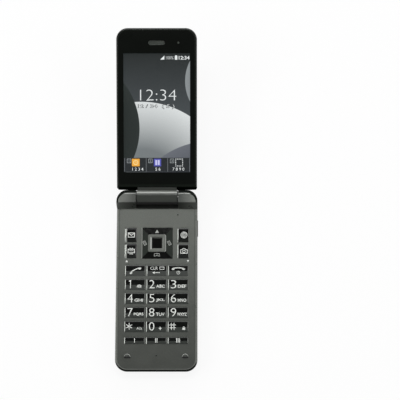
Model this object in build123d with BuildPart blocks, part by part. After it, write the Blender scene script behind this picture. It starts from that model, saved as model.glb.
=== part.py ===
from build123d import *
import os
from math import cos, hypot, radians, sin

# A folding mobile phone: a base with the keypad, and a lid with the screen on a hinge at the base's far end.
# Millimetres. +X runs across the phone, +Y from the mouthpiece end to the hinge, +Z out of the keypad.
# The origin is the centre of the base's back face. The lid is open as far as it goes.
# Lid pieces are drawn in lid coordinates: y from the hinge axis to the lid's far end, z up out of its screen.

os.makedirs("parts", exist_ok=True)

# ---------------------------------------------------------------- driving dimensions

# Base
base_width = 51.7
base_length = 114.5
deck_height = 9.2
base_corner_radius = 7.4
back_edge_radius = 2.2
rim_edge_radius = 0.8
rim_width = 1.7
front_depth = 3.6
front_wall = 2.4
rear_wall = 2.0
back_skin = 1.2
panel_thickness = 1.0
panel_end_radius = 0.8

# Hinge
hinge_setback = 4.4
lid_gap = 0.65
open_angle = 165.0
ear_width = 12.4
knuckle_reach = 4.85
knuckle_step = 4.2
knuckle_inner = 4.45
knuckle_round = 2.9
knuckle_crease = 0.7
saddle_wall = 0.8
ear_foot = 6.67
ear_brow = 4.1
ear_back_round = 2.9
ear_brow_round = 0.5
ear_edge_radius = 1.3
shaft_radius = 1.5
shaft_seat_depth = 4.0
cartridge_radius = 2.9
cartridge_length = 12.6
cartridge_cap = 2.2
bush_radius = 2.4
bush_bore_radius = 1.5
bush_seat_depth = 2.0
bush_reach = 2.8
flex_radius = 1.2
flex_cavity_radius = 1.6
flex_thickness = 0.3
flex_width = 3.8
flex_gap = 0.4
flex_pocket_depth = 2.2

# Lid
lid_side_step = 0.3
lid_end_step = 2.7
lid_near_outer = 4.15
lid_near_inner = 7.0
lid_outer = 4.5
lid_inner = 2.65
lid_seam = 0.9
lid_corner_radius = 7.3
lid_near_corner_radius = 1.0
lid_end_corner_radius = 2.2
lid_crown = 0.5
lid_edge_radius = 1.5
lid_rim_edge_radius = 0.9
lid_wall = 1.7
lid_skin = 1.0
lid_end_strip = 2.95
lid_groove = 0.25
neck_side_step = 0.8
neck_outer = 3.2
neck_inner = 1.9

# Screen side of the lid
window_thickness = 0.9
window_margin = 1.5
window_near_margin = 1.6
window_recess = 0.1
screen_side_margin = 4.4
screen_near_edge = 16.3
screen_far_margin = 15.8
screen_side_border = 1.2
screen_near_border = 3.6
screen_far_border = 2.4
display_thickness = 1.5
lid_board_thickness = 0.6
lid_board_margin = 1.4
clock_far_margin = 57.3
clock_width = 24.0
clock_length = 9.5
clock_thickness = 1.0
earpiece_far_margin = 9.25
earpiece_width = 13.0
earpiece_length = 5.4
earpiece_thickness = 1.9
earpiece_slot_width = 10.6
earpiece_slot_length = 2.9
mesh_thickness = 0.5
sensor_side_margin = 11.8
sensor_far_margin = 9.2
sensor_radius = 0.7
sensor_length = 1.8

# Keypad: rows are distances from the hinge axis towards the mouthpiece end
keypad_side_margin = 5.75
key_gap = 0.85
first_row = 46.58
shortcut_pitch = 8.69
shortcut_margin = 19.35
row_gap = 1.77
shortcut_length = 4.5
function_row_upper = 23.9
function_row_lower = 34.2
function_side_margin = 5.35
function_width = 7.4
function_length = 9.3
key_rise = 0.4
key_slope = 0.25
key_bevel = 0.65
key_bevel_drop = 0.3
key_lip = 0.9
key_travel = 0.25
flange_thickness = 0.3
flange_overhang = 0.45
stem_width = 3.0
stem_length = 2.4

# Navigation key
nav_row = 29.1
nav_size = 19.7
nav_rise = 0.3
nav_edge_rise = 0.1
nav_flange = 0.5
nav_flange_drop = 1.75
nav_flange_thickness = 0.2
web_gap = 0.15
web_size = 12.0
web_bore = 9.0
web_thickness = 0.25
nub_radius = 1.0
nub_distance = 7.8
nub_length = 0.45
trim_size = 11.4
trim_rise = 0.1
trim_depth = 0.4
trim_bevel = 0.05
ok_size = 6.4
ok_rise = 0.35
ok_flange = 0.7
ok_flange_thickness = 0.2
ok_edge_radius = 0.25
ok_travel = 0.2

# Side key
side_key_distance = 19.4
side_key_length = 10.4
side_key_height = 2.2
side_key_rise = 0.35
side_key_flange_thickness = 0.5
side_key_flange_overhang = 0.6
side_key_edge_radius = 0.3

# Boards and what they carry
keypad_stack = 3.5
board_thickness = 0.8
board_side_margin = 3.7
board_far_distance = 7.9
board_near_margin = 3.8
board_corner_radius = 4.0
dome_film = 0.15
dome_rise = 0.15
dome_radius = 2.0
mat_gap = 0.35
mat_thickness = 0.25
mat_margin = 1.2
mat_border = 1.0
switch_thickness = 1.1
switch_length = 4.0
switch_rise = 1.4
switch_overhang = 0.35
connector_width = 5.0
connector_length = 2.4
connector_rise = 1.0
shield_width = 33.0
shield_length = 10.6
shield_drop = 2.2
shield_wall = 0.25
shield_x = 3.0
shield_far_margin = 30.7
microphone_width = 4.0
microphone_length = 3.0
microphone_rise = 1.1
microphone_margin = 9.8
microphone_hole_radius = 0.5
indicator_side_margin = 12.65
indicator_distance = 10.7
indicator_hole_radius = 0.45

# Back of the base
cover_skin = 1.0
cover_wall = 1.1
cover_wall_top = 2.5
cover_split_margin = 38.3
tongue_width = 6.0
tongue_length = 1.4
tongue_thickness = 0.55
tongue_pitch = 14.0
tray_floor = 0.8
step_wall = 1.2
battery_width = 36.0
battery_length = 50.0
battery_centre = -15.0
battery_edge_radius = 0.8
bay_wall = 0.8
bay_roof = 0.5
contacts_width = 9.0
contacts_length = 3.0
contacts_drop = 3.0
contacts_x = -9.0

# Camera, loudspeaker, motor and charging socket
camera_x = -4.0
camera_far_margin = 18.7
camera_size = 8.6
camera_body_height = 2.0
camera_barrel_radius = 2.6
camera_window_radius = 3.6
camera_window_thickness = 0.7
camera_window_recess = 0.15
camera_hole_radius = 2.9
speaker_side_margin = 12.3
speaker_far_margin = 18.9
speaker_width = 15.0
speaker_length = 10.4
speaker_thickness = 3.4
speaker_edge_radius = 1.0
grille_slots = 5
grille_slot_length = 9.0
grille_slot_width = 0.9
grille_pitch = 1.7
motor_side_margin = 8.9
motor_far_margin = 18.9
motor_radius = 4.0
motor_thickness = 2.6
socket_far_margin = 30.8
socket_width = 7.6
socket_thickness = 2.5
socket_depth = 5.4
socket_wall = 0.3
socket_tongue_width = 3.6
socket_tongue_thickness = 0.6
socket_tongue_length = 3.8
socket_setback = 1.2
flap_length = 11.0
flap_height = 2.9
flap_thickness = 1.0
flap_pin_radius = 0.35
flap_pin_length = 0.4

# Fasteners and bumpers
screw_radius = 0.7
screw_head_radius = 1.3
screw_head_thickness = 0.5
screw_y = 10.6
screw_side_margin = 4.1
screw_corner_margin = 4.6
screw_seat_height = 2.0
screw_tip_depth = 0.8
boss_radius = 1.9
boss_reach = 2.7
boss_drop = 1.2
boss_roof = 0.5
lid_screw_margin = 5.2
lid_screw_far_margin = 6.4
lid_screw_near_distance = 10.6
lid_screw_length = 3.6
lid_post_radius = 1.8
bumper_width = 3.7
bumper_length = 2.6
bumper_rise = 0.5
bumper_edge_radius = 0.25
bumper_side_margin = 7.7
bumper_margin = 9.55
bumper_stub_radius = 0.8
bumper_stub_length = 0.8

# Clearances
panel_clearance = 0.1
key_clearance = 0.1
nav_clearance = 0.2
part_clearance = 0.15
running_clearance = 0.05
knuckle_clearance = 0.25
neck_clearance = 0.4
cover_clearance = 0.1
battery_clearance = 0.25

# ---------------------------------------------------------------- places worked out from them

base_end = base_length / 2
base_side = base_width / 2
lid_width = base_width - 2 * lid_side_step
screen_width = lid_width - 2 * screen_side_margin
knuckle_width = base_width - 2 * ear_width - 2 * knuckle_clearance
neck_width = knuckle_width - 2 * neck_side_step
key_width = (base_width - 2 * keypad_side_margin - 2 * key_gap) / 3
column_pitch = key_width + key_gap
function_column = base_side - function_side_margin - function_width / 2
case_seam_height = deck_height - front_depth
panel_seat = deck_height - panel_thickness
axis_y = base_end - hinge_setback
hinge_height = deck_height + lid_gap + lid_inner
ear_top = hinge_height + lid_outer
lid_far_end = axis_y + base_end - lid_end_step
screen_length = lid_far_end - screen_far_margin - screen_near_edge
shortcut_row = axis_y + base_end - shortcut_margin
row_pitch = (shortcut_row - shortcut_pitch - first_row) / 4
key_length = row_pitch - row_gap
panel_end = axis_y - ear_foot - panel_clearance
gap_half_width = knuckle_width / 2 + knuckle_clearance
knuckle_swing = (
    hypot(knuckle_reach - knuckle_round, lid_outer - knuckle_round) + knuckle_round + knuckle_clearance
)
board_height = deck_height - keypad_stack
board_top = board_height + board_thickness
board_far_end = axis_y - board_far_distance
board_half_width = base_side - board_side_margin
tail_x = gap_half_width + bush_seat_depth + flex_pocket_depth / 2 - flex_thickness / 2
dome_top = board_top + dome_film + dome_rise
stem_bottom = dome_top + key_travel + running_clearance
key_body_bottom = panel_seat - part_clearance
flange_bottom = key_body_bottom - flange_thickness
mat_height = dome_top + mat_gap
mat_top = mat_height + mat_thickness
web_height = dome_top + web_gap
nav_flange_height = deck_height - nav_flange_drop
nav_y = axis_y - nav_row
cover_split = base_end - cover_split_margin
tray_bottom = cover_skin + cover_clearance
tray_edge = cover_split + cover_clearance
battery_bottom = cover_skin + part_clearance
bay_top = board_height - bay_roof - cover_clearance
battery_thickness = bay_top - cover_clearance - battery_bottom
battery_end = battery_centre + battery_length / 2
screw_points = [(side * (base_side - screw_side_margin), screw_y) for side in (-1, 1)] + [
    (side * (base_side - screw_corner_margin), screw_corner_margin - base_end) for side in (-1, 1)
]
boss_top = panel_seat - boss_drop
boss_bottom = case_seam_height - boss_reach
socket_y = base_end - socket_far_margin
flap_pin = (-base_side + flap_thickness / 2, socket_y + flap_length / 2 - flap_thickness / 2)
flap_bottom = case_seam_height - cover_clearance - flap_height
socket_bottom = case_seam_height - part_clearance - socket_thickness
bumper_points = [(side * (base_side - bumper_side_margin), bumper_margin - base_end) for side in (-1, 1)]
microphone_y = microphone_margin - base_end
indicator_x = base_side - indicator_side_margin
shield_y = base_end - shield_far_margin
camera_y = base_end - camera_far_margin
speaker_x = base_side - speaker_side_margin
speaker_y = base_end - speaker_far_margin
motor_x = motor_side_margin - base_side
motor_y = base_end - motor_far_margin
sensor_x = lid_width / 2 - sensor_side_margin
sensor_distance = lid_far_end - sensor_far_margin
earpiece_distance = lid_far_end - earpiece_far_margin
clock_distance = lid_far_end - clock_far_margin

# Lid heights are measured from the hinge axis, along the lid's own up direction
open_rise = radians(180 - open_angle)
hinge_point = (0, axis_y, hinge_height)
lid_forward = (0, cos(open_rise), sin(open_rise))
lid_up = (0, -sin(open_rise), cos(open_rise))
lid_up_axis = Axis(hinge_point, lid_up)
lid_side = Plane(origin=hinge_point, x_dir=lid_forward, z_dir=(1, 0, 0))
lid_across = Plane(origin=hinge_point, x_dir=(1, 0, 0), z_dir=(0, -lid_forward[1], -lid_forward[2]))
window_seat = lid_inner - window_recess - window_thickness
display_top = window_seat - cover_clearance
display_half_width = screen_width / 2 + screen_side_border
display_near = screen_near_edge - screen_near_border
display_far = screen_near_edge + screen_length + screen_far_border
flex_height = display_top - display_thickness - running_clearance - flex_thickness
lid_board_top = flex_height - running_clearance
cover_near = lid_near_outer + lid_end_strip + lid_groove
near_slope = (lid_near_inner - lid_near_outer) / (lid_inner + lid_outer)
lid_swing = (
    hypot(ear_brow - ear_brow_round, lid_outer - ear_brow_round) + ear_brow_round + knuckle_clearance
)
lid_screw_x = lid_width / 2 - lid_screw_margin
lid_screw_points = [(side * lid_screw_x, lid_screw_near_distance) for side in (-1, 1)] + [
    (side * lid_screw_x, lid_far_end - lid_screw_far_margin) for side in (-1, 1)
]


def lid_level(height):
    """A plane parallel to the open lid's faces, at a height above the hinge axis."""
    return Plane(origin=hinge_point, x_dir=(1, 0, 0), z_dir=lid_up).offset(height)


def hinge_station(x):
    """A plane across the hinge axis at x, with its origin on the axis."""
    return Plane(origin=(x, axis_y, hinge_height), x_dir=(0, 1, 0), z_dir=(1, 0, 0))


def base_outline(inset):
    """The base seen from above, drawn in by an inset."""
    return RectangleRounded(
        base_width - 2 * inset, base_length - 2 * inset, base_corner_radius - inset
    )


def lid_outline(inset, near_edge, near_radius=lid_near_corner_radius):
    """The lid seen from its screen side, from a near edge to the far end drawn in by an inset."""
    with BuildSketch(mode=Mode.PRIVATE) as outline:
        with Locations((0, near_edge)):
            Rectangle(
                lid_width - 2 * inset,
                lid_far_end - inset - near_edge,
                align=(Align.CENTER, Align.MIN),
            )
        fillet(outline.vertices().group_by(Axis.Y)[-1], lid_corner_radius - inset)
        fillet(outline.vertices().group_by(Axis.Y)[0], near_radius)
    return outline.sketch


def panel_outline(inset):
    """The keypad panel's seat inside the front case's rim, drawn in by an inset."""
    side = rim_width + inset
    with BuildSketch(mode=Mode.PRIVATE) as outline:
        with Locations((0, side - base_end)):
            Rectangle(
                base_width - 2 * side,
                panel_end - inset + base_end - side,
                align=(Align.CENTER, Align.MIN),
            )
        fillet(outline.vertices().group_by(Axis.Y)[0], base_corner_radius - side)
        fillet(outline.vertices().group_by(Axis.Y)[-1], panel_end_radius)
    return outline.sketch


def mat_outline(inset):
    """The outline that the key mat and the dome film share, clear of the screw bosses."""
    near = axis_y - shortcut_row - shortcut_length / 2 - mat_margin + inset
    far = axis_y - function_row_upper + function_length / 2 + mat_margin - inset
    with BuildSketch(mode=Mode.PRIVATE) as outline:
        with Locations((0, (near + far) / 2)):
            Rectangle(2 * (column_pitch + key_width / 2 + mat_margin - inset), far - near)
        with Locations(*screw_points):
            Circle(boss_radius + part_clearance + inset, mode=Mode.SUBTRACT)
    return outline.sketch


def bumper_outline():
    """A bumper seen from above: straight on the mouthpiece side, arched on the other."""
    with BuildSketch(mode=Mode.PRIVATE) as outline:
        with BuildLine():
            arch = ThreePointArc(
                (-bumper_width / 2, -bumper_length / 2),
                (0, bumper_length / 2),
                (bumper_width / 2, -bumper_length / 2),
            )
            Line(arch @ 1, arch @ 0)
        make_face()
    return outline.sketch


# ---------------------------------------------------------------- keypad layout

# name: (x, row, width, length, whether the flange stands out at the sides rather than at the ends)
keys = {
    "key_mail": (-function_column, function_row_upper, function_width, function_length, True),
    "key_tv": (-function_column, function_row_lower, function_width, function_length, True),
    "key_web": (function_column, function_row_upper, function_width, function_length, True),
    "key_camera": (function_column, function_row_lower, function_width, function_length, True),
}
keypad_rows = [
    ("key_call", "key_clear", "key_end"),
    ("key_1", "key_2", "key_3"),
    ("key_4", "key_5", "key_6"),
    ("key_7", "key_8", "key_9"),
    ("key_star", "key_0", "key_hash"),
]
for row, names in enumerate(keypad_rows):
    for column, name in enumerate(names):
        keys[name] = ((column - 1) * column_pitch, first_row + row * row_pitch, key_width, key_length, False)
for column, name in enumerate(("key_shortcut_1", "key_shortcut_2", "key_shortcut_3")):
    keys[name] = ((column - 1) * column_pitch, shortcut_row, key_width, shortcut_length, False)

key_points = [(x, axis_y - distance) for x, distance, *_ in keys.values()]
nub_points = [
    (nub_distance, nav_y),
    (-nub_distance, nav_y),
    (0, nav_y + nub_distance),
    (0, nav_y - nub_distance),
]

# ---------------------------------------------------------------- front case of the base

with BuildPart() as ears:
    # Two towers that hold the hinge, with a sloping front and a rounded back edge
    with BuildSketch(Plane.YZ):
        with BuildLine():
            FilletPolyline(
                (axis_y - ear_foot, deck_height),
                (axis_y - ear_brow, ear_top),
                (base_end, ear_top),
                (base_end, panel_seat),
                (axis_y - ear_foot, panel_seat),
                radius=[0, ear_brow_round, ear_back_round, 0, 0],
                close=True,
            )
        make_face()
    extrude(amount=base_side, both=True)
    with BuildSketch(Plane.YZ):
        with Locations((axis_y, hinge_height)):
            Rectangle(base_width, base_width)
    extrude(amount=gap_half_width, both=True, mode=Mode.SUBTRACT)

with BuildPart() as ear_envelope:
    with BuildSketch(Plane.XY.offset(panel_seat)):
        base_outline(0)
    extrude(amount=ear_top - panel_seat)
    fillet(ear_envelope.edges().group_by(Axis.Z)[-1], ear_edge_radius)

with BuildPart() as front_case:
    with BuildSketch(Plane.XY.offset(case_seam_height)):
        base_outline(0)
    extrude(amount=deck_height - case_seam_height)
    fillet(front_case.edges().group_by(Axis.Z)[-1], rim_edge_radius)
    with BuildSketch(Plane.XY.offset(case_seam_height)):
        base_outline(front_wall)
    extrude(amount=panel_seat - case_seam_height, mode=Mode.SUBTRACT)
    with BuildSketch(Plane.XY.offset(panel_seat)):
        add(panel_outline(0))
    extrude(amount=panel_thickness, mode=Mode.SUBTRACT)
    add(ears.part & ear_envelope.part)
    # Saddle under the knuckle
    with BuildSketch(Plane.YZ):
        with Locations((base_end, case_seam_height)):
            Rectangle(
                hinge_setback + knuckle_swing + saddle_wall,
                deck_height - case_seam_height,
                align=(Align.MAX, Align.MIN),
            )
        with Locations((axis_y, hinge_height)):
            Circle(knuckle_swing + saddle_wall, mode=Mode.INTERSECT)
    extrude(amount=gap_half_width + saddle_wall, both=True)
    with BuildSketch(Plane.YZ):
        with Locations((axis_y, hinge_height)):
            Circle(knuckle_swing)
    extrude(amount=gap_half_width, both=True, mode=Mode.SUBTRACT)
    # Hinge seats: the shaft's on the left, the bush's on the right with a way down for the flex
    with BuildSketch(hinge_station(-gap_half_width - shaft_seat_depth)):
        Circle(shaft_radius)
    extrude(amount=shaft_seat_depth, mode=Mode.SUBTRACT)
    with BuildSketch(hinge_station(gap_half_width)):
        Circle(bush_radius)
    extrude(amount=bush_seat_depth, mode=Mode.SUBTRACT)
    with BuildSketch(hinge_station(gap_half_width + bush_seat_depth)):
        with Locations((0, bush_bore_radius)):
            Rectangle(
                2 * bush_bore_radius,
                hinge_height + bush_bore_radius - case_seam_height,
                align=(Align.CENTER, Align.MAX),
            )
    extrude(amount=flex_pocket_depth, mode=Mode.SUBTRACT)
    # Screw bosses, joined to the side walls
    with BuildSketch(Plane.XY.offset(boss_bottom)):
        with Locations(*screw_points):
            Circle(boss_radius)
    extrude(amount=boss_top - boss_bottom)
    with BuildSketch(Plane.XY.offset(boss_bottom)):
        with Locations(*screw_points):
            Circle(screw_radius)
    extrude(amount=boss_top - boss_roof - boss_bottom, mode=Mode.SUBTRACT)
    # Slot for the side key, closed underneath by the rear case
    with BuildSketch(Plane.YZ.offset(base_side - 2 * front_wall)):
        with Locations((axis_y - side_key_distance, case_seam_height)):
            Rectangle(
                side_key_length + 2 * key_clearance,
                side_key_height + 2 * key_clearance,
                align=(Align.CENTER, Align.MIN),
            )
    extrude(amount=3 * front_wall, mode=Mode.SUBTRACT)
    # Upper seat of the socket flap's pin
    with BuildSketch(Plane.XY.offset(case_seam_height)):
        with Locations(flap_pin):
            Circle(flap_pin_radius + running_clearance)
    extrude(amount=flap_pin_length + running_clearance, mode=Mode.SUBTRACT)
front_case.part.label = "front_case"
export_step(front_case.part, "parts/front_case.step")

# ---------------------------------------------------------------- keypad panel

with BuildPart() as keypad_panel:
    with BuildSketch(Plane.XY.offset(panel_seat)):
        add(panel_outline(panel_clearance))
        for x, distance, width, length, _ in keys.values():
            with Locations((x, axis_y - distance)):
                Rectangle(width + 2 * key_clearance, length + 2 * key_clearance, mode=Mode.SUBTRACT)
        with Locations((0, nav_y)):
            Rectangle(nav_size + 2 * nav_clearance, nav_size + 2 * nav_clearance, mode=Mode.SUBTRACT)
        with Locations((0, microphone_y)):
            Circle(microphone_hole_radius, mode=Mode.SUBTRACT)
        with Locations((indicator_x, axis_y - indicator_distance)):
            Circle(indicator_hole_radius, mode=Mode.SUBTRACT)
        with Locations(*bumper_points):
            Circle(bumper_stub_radius + running_clearance, mode=Mode.SUBTRACT)
    extrude(amount=panel_thickness)
keypad_panel.part.label = "keypad_panel"
export_step(keypad_panel.part, "parts/keypad_panel.step")

# ---------------------------------------------------------------- keys

for name, (x, distance, width, length, flange_at_sides) in keys.items():
    key_y = axis_y - distance
    key_top = deck_height + key_rise
    with BuildPart() as key:
        # A cap with a ridge across its middle and a lip along its far edge
        with BuildSketch(Plane.YZ.offset(x)):
            with BuildLine():
                Polyline(
                    (key_y - length / 2, key_body_bottom),
                    (key_y - length / 2, key_top - key_slope),
                    (key_y - key_lip / 2, key_top),
                    (key_y + length / 2 - key_lip, key_top - key_slope / 2),
                    (key_y + length / 2, deck_height - key_slope / 2),
                    (key_y + length / 2, key_body_bottom),
                    close=True,
                )
            make_face()
        extrude(amount=width / 2, both=True)
        # Its two sides are bevelled
        with BuildSketch(Plane.XZ.offset(-key_y)):
            with BuildLine():
                Polyline(
                    (x - width / 2, key_body_bottom),
                    (x - width / 2, key_top - key_bevel_drop),
                    (x - width / 2 + key_bevel, key_top),
                    (x + width / 2 - key_bevel, key_top),
                    (x + width / 2, key_top - key_bevel_drop),
                    (x + width / 2, key_body_bottom),
                    close=True,
                )
            make_face()
        extrude(amount=length, both=True, mode=Mode.INTERSECT)
        with BuildSketch(Plane.XY.offset(flange_bottom)):
            with Locations((x, key_y)):
                if flange_at_sides:
                    Rectangle(width + 2 * flange_overhang, length)
                else:
                    Rectangle(width, length + 2 * flange_overhang)
        extrude(amount=flange_thickness)
        with BuildSketch(Plane.XY.offset(stem_bottom)):
            with Locations((x, key_y)):
                Rectangle(stem_width, stem_length)
        extrude(amount=flange_bottom - stem_bottom)
    key.part.label = name
    export_step(key.part, f"parts/{name}.step")

# ---------------------------------------------------------------- navigation key

with BuildPart() as nav_web:
    # Rubber ring between the pad and the board, on which the pad rocks
    with BuildSketch(Plane.XY.offset(web_height)):
        with Locations((0, nav_y)):
            Rectangle(web_size, web_size)
            Rectangle(web_bore, web_bore, mode=Mode.SUBTRACT)
    extrude(amount=web_thickness)
nav_web.part.label = "nav_web"
export_step(nav_web.part, "parts/nav_web.step")

with BuildPart() as nav_pad:
    with BuildSketch(Plane.XY.offset(nav_flange_height)):
        with Locations((0, nav_y)):
            Rectangle(nav_size + 2 * nav_flange, nav_size + 2 * nav_flange)
    extrude(amount=nav_flange_thickness)
    with BuildSketch(Plane.XY.offset(nav_flange_height)):
        with Locations((0, nav_y)):
            Rectangle(nav_size, nav_size)
    extrude(amount=deck_height + nav_edge_rise - nav_flange_height)
    # Four slopes rise to the trim ring
    with BuildSketch(Plane.XY.offset(deck_height + nav_edge_rise)):
        with Locations((0, nav_y)):
            Rectangle(nav_size, nav_size)
    with BuildSketch(Plane.XY.offset(deck_height + nav_rise)):
        with Locations((0, nav_y)):
            Rectangle(trim_size, trim_size)
    loft()
    with BuildSketch(Plane.XY.offset(deck_height + nav_rise)):
        with Locations((0, nav_y)):
            Rectangle(trim_size + 2 * running_clearance, trim_size + 2 * running_clearance)
    extrude(amount=-trim_depth, mode=Mode.SUBTRACT)
    with BuildSketch(Plane.XY.offset(nav_flange_height)):
        with Locations((0, nav_y)):
            Rectangle(ok_size + 2 * nav_clearance, ok_size + 2 * nav_clearance)
    extrude(amount=deck_height, mode=Mode.SUBTRACT)
    with BuildSketch(Plane.XY.offset(nav_flange_height)):
        with Locations(*nub_points):
            Circle(nub_radius)
    extrude(amount=-nub_length)
nav_pad.part.label = "nav_pad"
export_step(nav_pad.part, "parts/nav_pad.step")

with BuildPart() as nav_trim:
    with BuildSketch(Plane.XY.offset(deck_height + nav_rise - trim_depth)):
        with Locations((0, nav_y)):
            Rectangle(trim_size, trim_size)
            Rectangle(ok_size + 2 * nav_clearance, ok_size + 2 * nav_clearance, mode=Mode.SUBTRACT)
    extrude(amount=trim_depth + trim_rise)
    chamfer(nav_trim.edges().group_by(Axis.Z)[-1], trim_bevel)
nav_trim.part.label = "nav_trim"
export_step(nav_trim.part, "parts/nav_trim.step")

with BuildPart() as ok_key:
    with BuildSketch(Plane.XY.offset(dome_top + ok_travel + running_clearance)):
        with Locations((0, nav_y)):
            Rectangle(ok_size + 2 * ok_flange, ok_size + 2 * ok_flange)
    extrude(amount=ok_flange_thickness)
    with BuildSketch(Plane.XY.offset(dome_top + ok_travel + running_clearance)):
        with Locations((0, nav_y)):
            Rectangle(ok_size, ok_size)
    extrude(amount=deck_height + ok_rise - dome_top - ok_travel - running_clearance)
    fillet(ok_key.edges().group_by(Axis.Z)[-1], ok_edge_radius)
ok_key.part.label = "ok_key"
export_step(ok_key.part, "parts/ok_key.step")

# ---------------------------------------------------------------- side key

side_key_bottom = case_seam_height + key_clearance
side_key_inner = base_side - front_wall - running_clearance - side_key_flange_thickness
with BuildPart() as side_key:
    with BuildSketch(Plane.YZ.offset(side_key_inner)):
        with Locations((axis_y - side_key_distance, side_key_bottom)):
            Rectangle(side_key_length, side_key_height, align=(Align.CENTER, Align.MIN))
    extrude(amount=base_side + side_key_rise - side_key_inner)
    fillet(side_key.edges().group_by(Axis.X)[-1], side_key_edge_radius)
    with BuildSketch(Plane.YZ.offset(side_key_inner)):
        with Locations((axis_y - side_key_distance, side_key_bottom)):
            Rectangle(
                side_key_length + 2 * side_key_flange_overhang,
                side_key_height,
                align=(Align.CENTER, Align.MIN),
            )
    extrude(amount=side_key_flange_thickness)
side_key.part.label = "side_key"
export_step(side_key.part, "parts/side_key.step")

# ---------------------------------------------------------------- key mat, domes and main board

with BuildPart() as key_mat:
    with BuildSketch(Plane.XY.offset(mat_height)):
        add(mat_outline(0))
    extrude(amount=mat_thickness)
    # A raised border stands on the dome film
    with BuildSketch(Plane.XY.offset(board_top + dome_film)):
        add(mat_outline(0))
        add(mat_outline(mat_border), mode=Mode.SUBTRACT)
    extrude(amount=mat_height - board_top - dome_film)
    with BuildSketch(Plane.XY.offset(mat_height)):
        with Locations(*key_points):
            Rectangle(stem_width + 2 * part_clearance, stem_length + 2 * part_clearance)
    extrude(amount=mat_thickness, mode=Mode.SUBTRACT)
    with BuildSketch(Plane.XY.offset(board_top + dome_film)):
        with Locations((0, nav_y)):
            Rectangle(
                nav_size + 2 * nav_flange + 2 * nav_clearance,
                nav_size + 2 * nav_flange + 2 * nav_clearance,
            )
    extrude(amount=mat_thickness + mat_height, mode=Mode.SUBTRACT)
key_mat.part.label = "key_mat"
export_step(key_mat.part, "parts/key_mat.step")

with BuildPart() as dome_sheet:
    with BuildSketch(Plane.XY.offset(board_top)):
        add(mat_outline(0))
    extrude(amount=dome_film)
    with BuildSketch(Plane.XY.offset(board_top + dome_film)):
        with Locations(*key_points, *nub_points, (0, nav_y)):
            Circle(dome_radius)
    extrude(amount=dome_rise)
dome_sheet.part.label = "dome_sheet"
export_step(dome_sheet.part, "parts/dome_sheet.step")

with BuildPart() as main_board:
    with BuildSketch(Plane.XY.offset(board_height)) as board_shape:
        with Locations((0, board_far_end)):
            Rectangle(
                2 * board_half_width,
                board_far_end + base_end - board_near_margin,
                align=(Align.CENTER, Align.MAX),
            )
        fillet(board_shape.vertices(), board_corner_radius)
        with Locations(*screw_points):
            Circle(boss_radius + part_clearance, mode=Mode.SUBTRACT)
    extrude(amount=board_thickness)
    # Switch of the side key, at the board's edge
    with BuildSketch(Plane.XY.offset(board_top)):
        with Locations((board_half_width + switch_overhang, axis_y - side_key_distance)):
            Rectangle(switch_thickness, switch_length, align=(Align.MAX, Align.CENTER))
    extrude(amount=switch_rise)
    # Connector of the hinge flex, and the flex's tail up into the ear
    with BuildSketch(Plane.XY.offset(board_top)):
        with Locations((tail_x, board_far_end - part_clearance)):
            Rectangle(connector_width, connector_length, align=(Align.CENTER, Align.MAX))
    extrude(amount=connector_rise)
    with BuildSketch(Plane.XY.offset(board_top)):
        with Locations((tail_x, board_far_end - part_clearance)):
            Rectangle(
                2 * flex_thickness,
                board_far_distance + part_clearance + flex_radius,
                align=(Align.MIN, Align.MIN),
            )
    extrude(amount=flex_thickness)
    with BuildSketch(Plane.XY.offset(board_top)):
        with Locations((tail_x, axis_y)):
            Rectangle(flex_thickness, 2 * flex_radius, align=(Align.MIN, Align.CENTER))
    extrude(amount=hinge_height + flex_radius - board_top)
main_board.part.label = "main_board"
export_step(main_board.part, "parts/main_board.step")

with BuildPart() as board_shield:
    # Folded metal can on the board's underside
    with BuildSketch(Plane.XY.offset(board_height)):
        with Locations((shield_x, shield_y)):
            Rectangle(shield_width, shield_length)
    extrude(amount=-shield_drop)
    with BuildSketch(Plane.XY.offset(board_height)):
        with Locations((shield_x, shield_y)):
            Rectangle(shield_width - 2 * shield_wall, shield_length - 2 * shield_wall)
    extrude(amount=shield_wall - shield_drop, mode=Mode.SUBTRACT)
board_shield.part.label = "board_shield"
export_step(board_shield.part, "parts/board_shield.step")

with BuildPart() as microphone:
    with BuildSketch(Plane.XY.offset(board_top)):
        with Locations((0, microphone_y)):
            Rectangle(microphone_width, microphone_length)
    extrude(amount=microphone_rise)
    with BuildSketch(Plane.XY.offset(board_top + microphone_rise)):
        with Locations((0, microphone_y)):
            Circle(microphone_hole_radius)
    extrude(amount=-microphone_rise / 2, mode=Mode.SUBTRACT)
microphone.part.label = "microphone"
export_step(microphone.part, "parts/microphone.step")

# ---------------------------------------------------------------- rear case of the base

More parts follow.
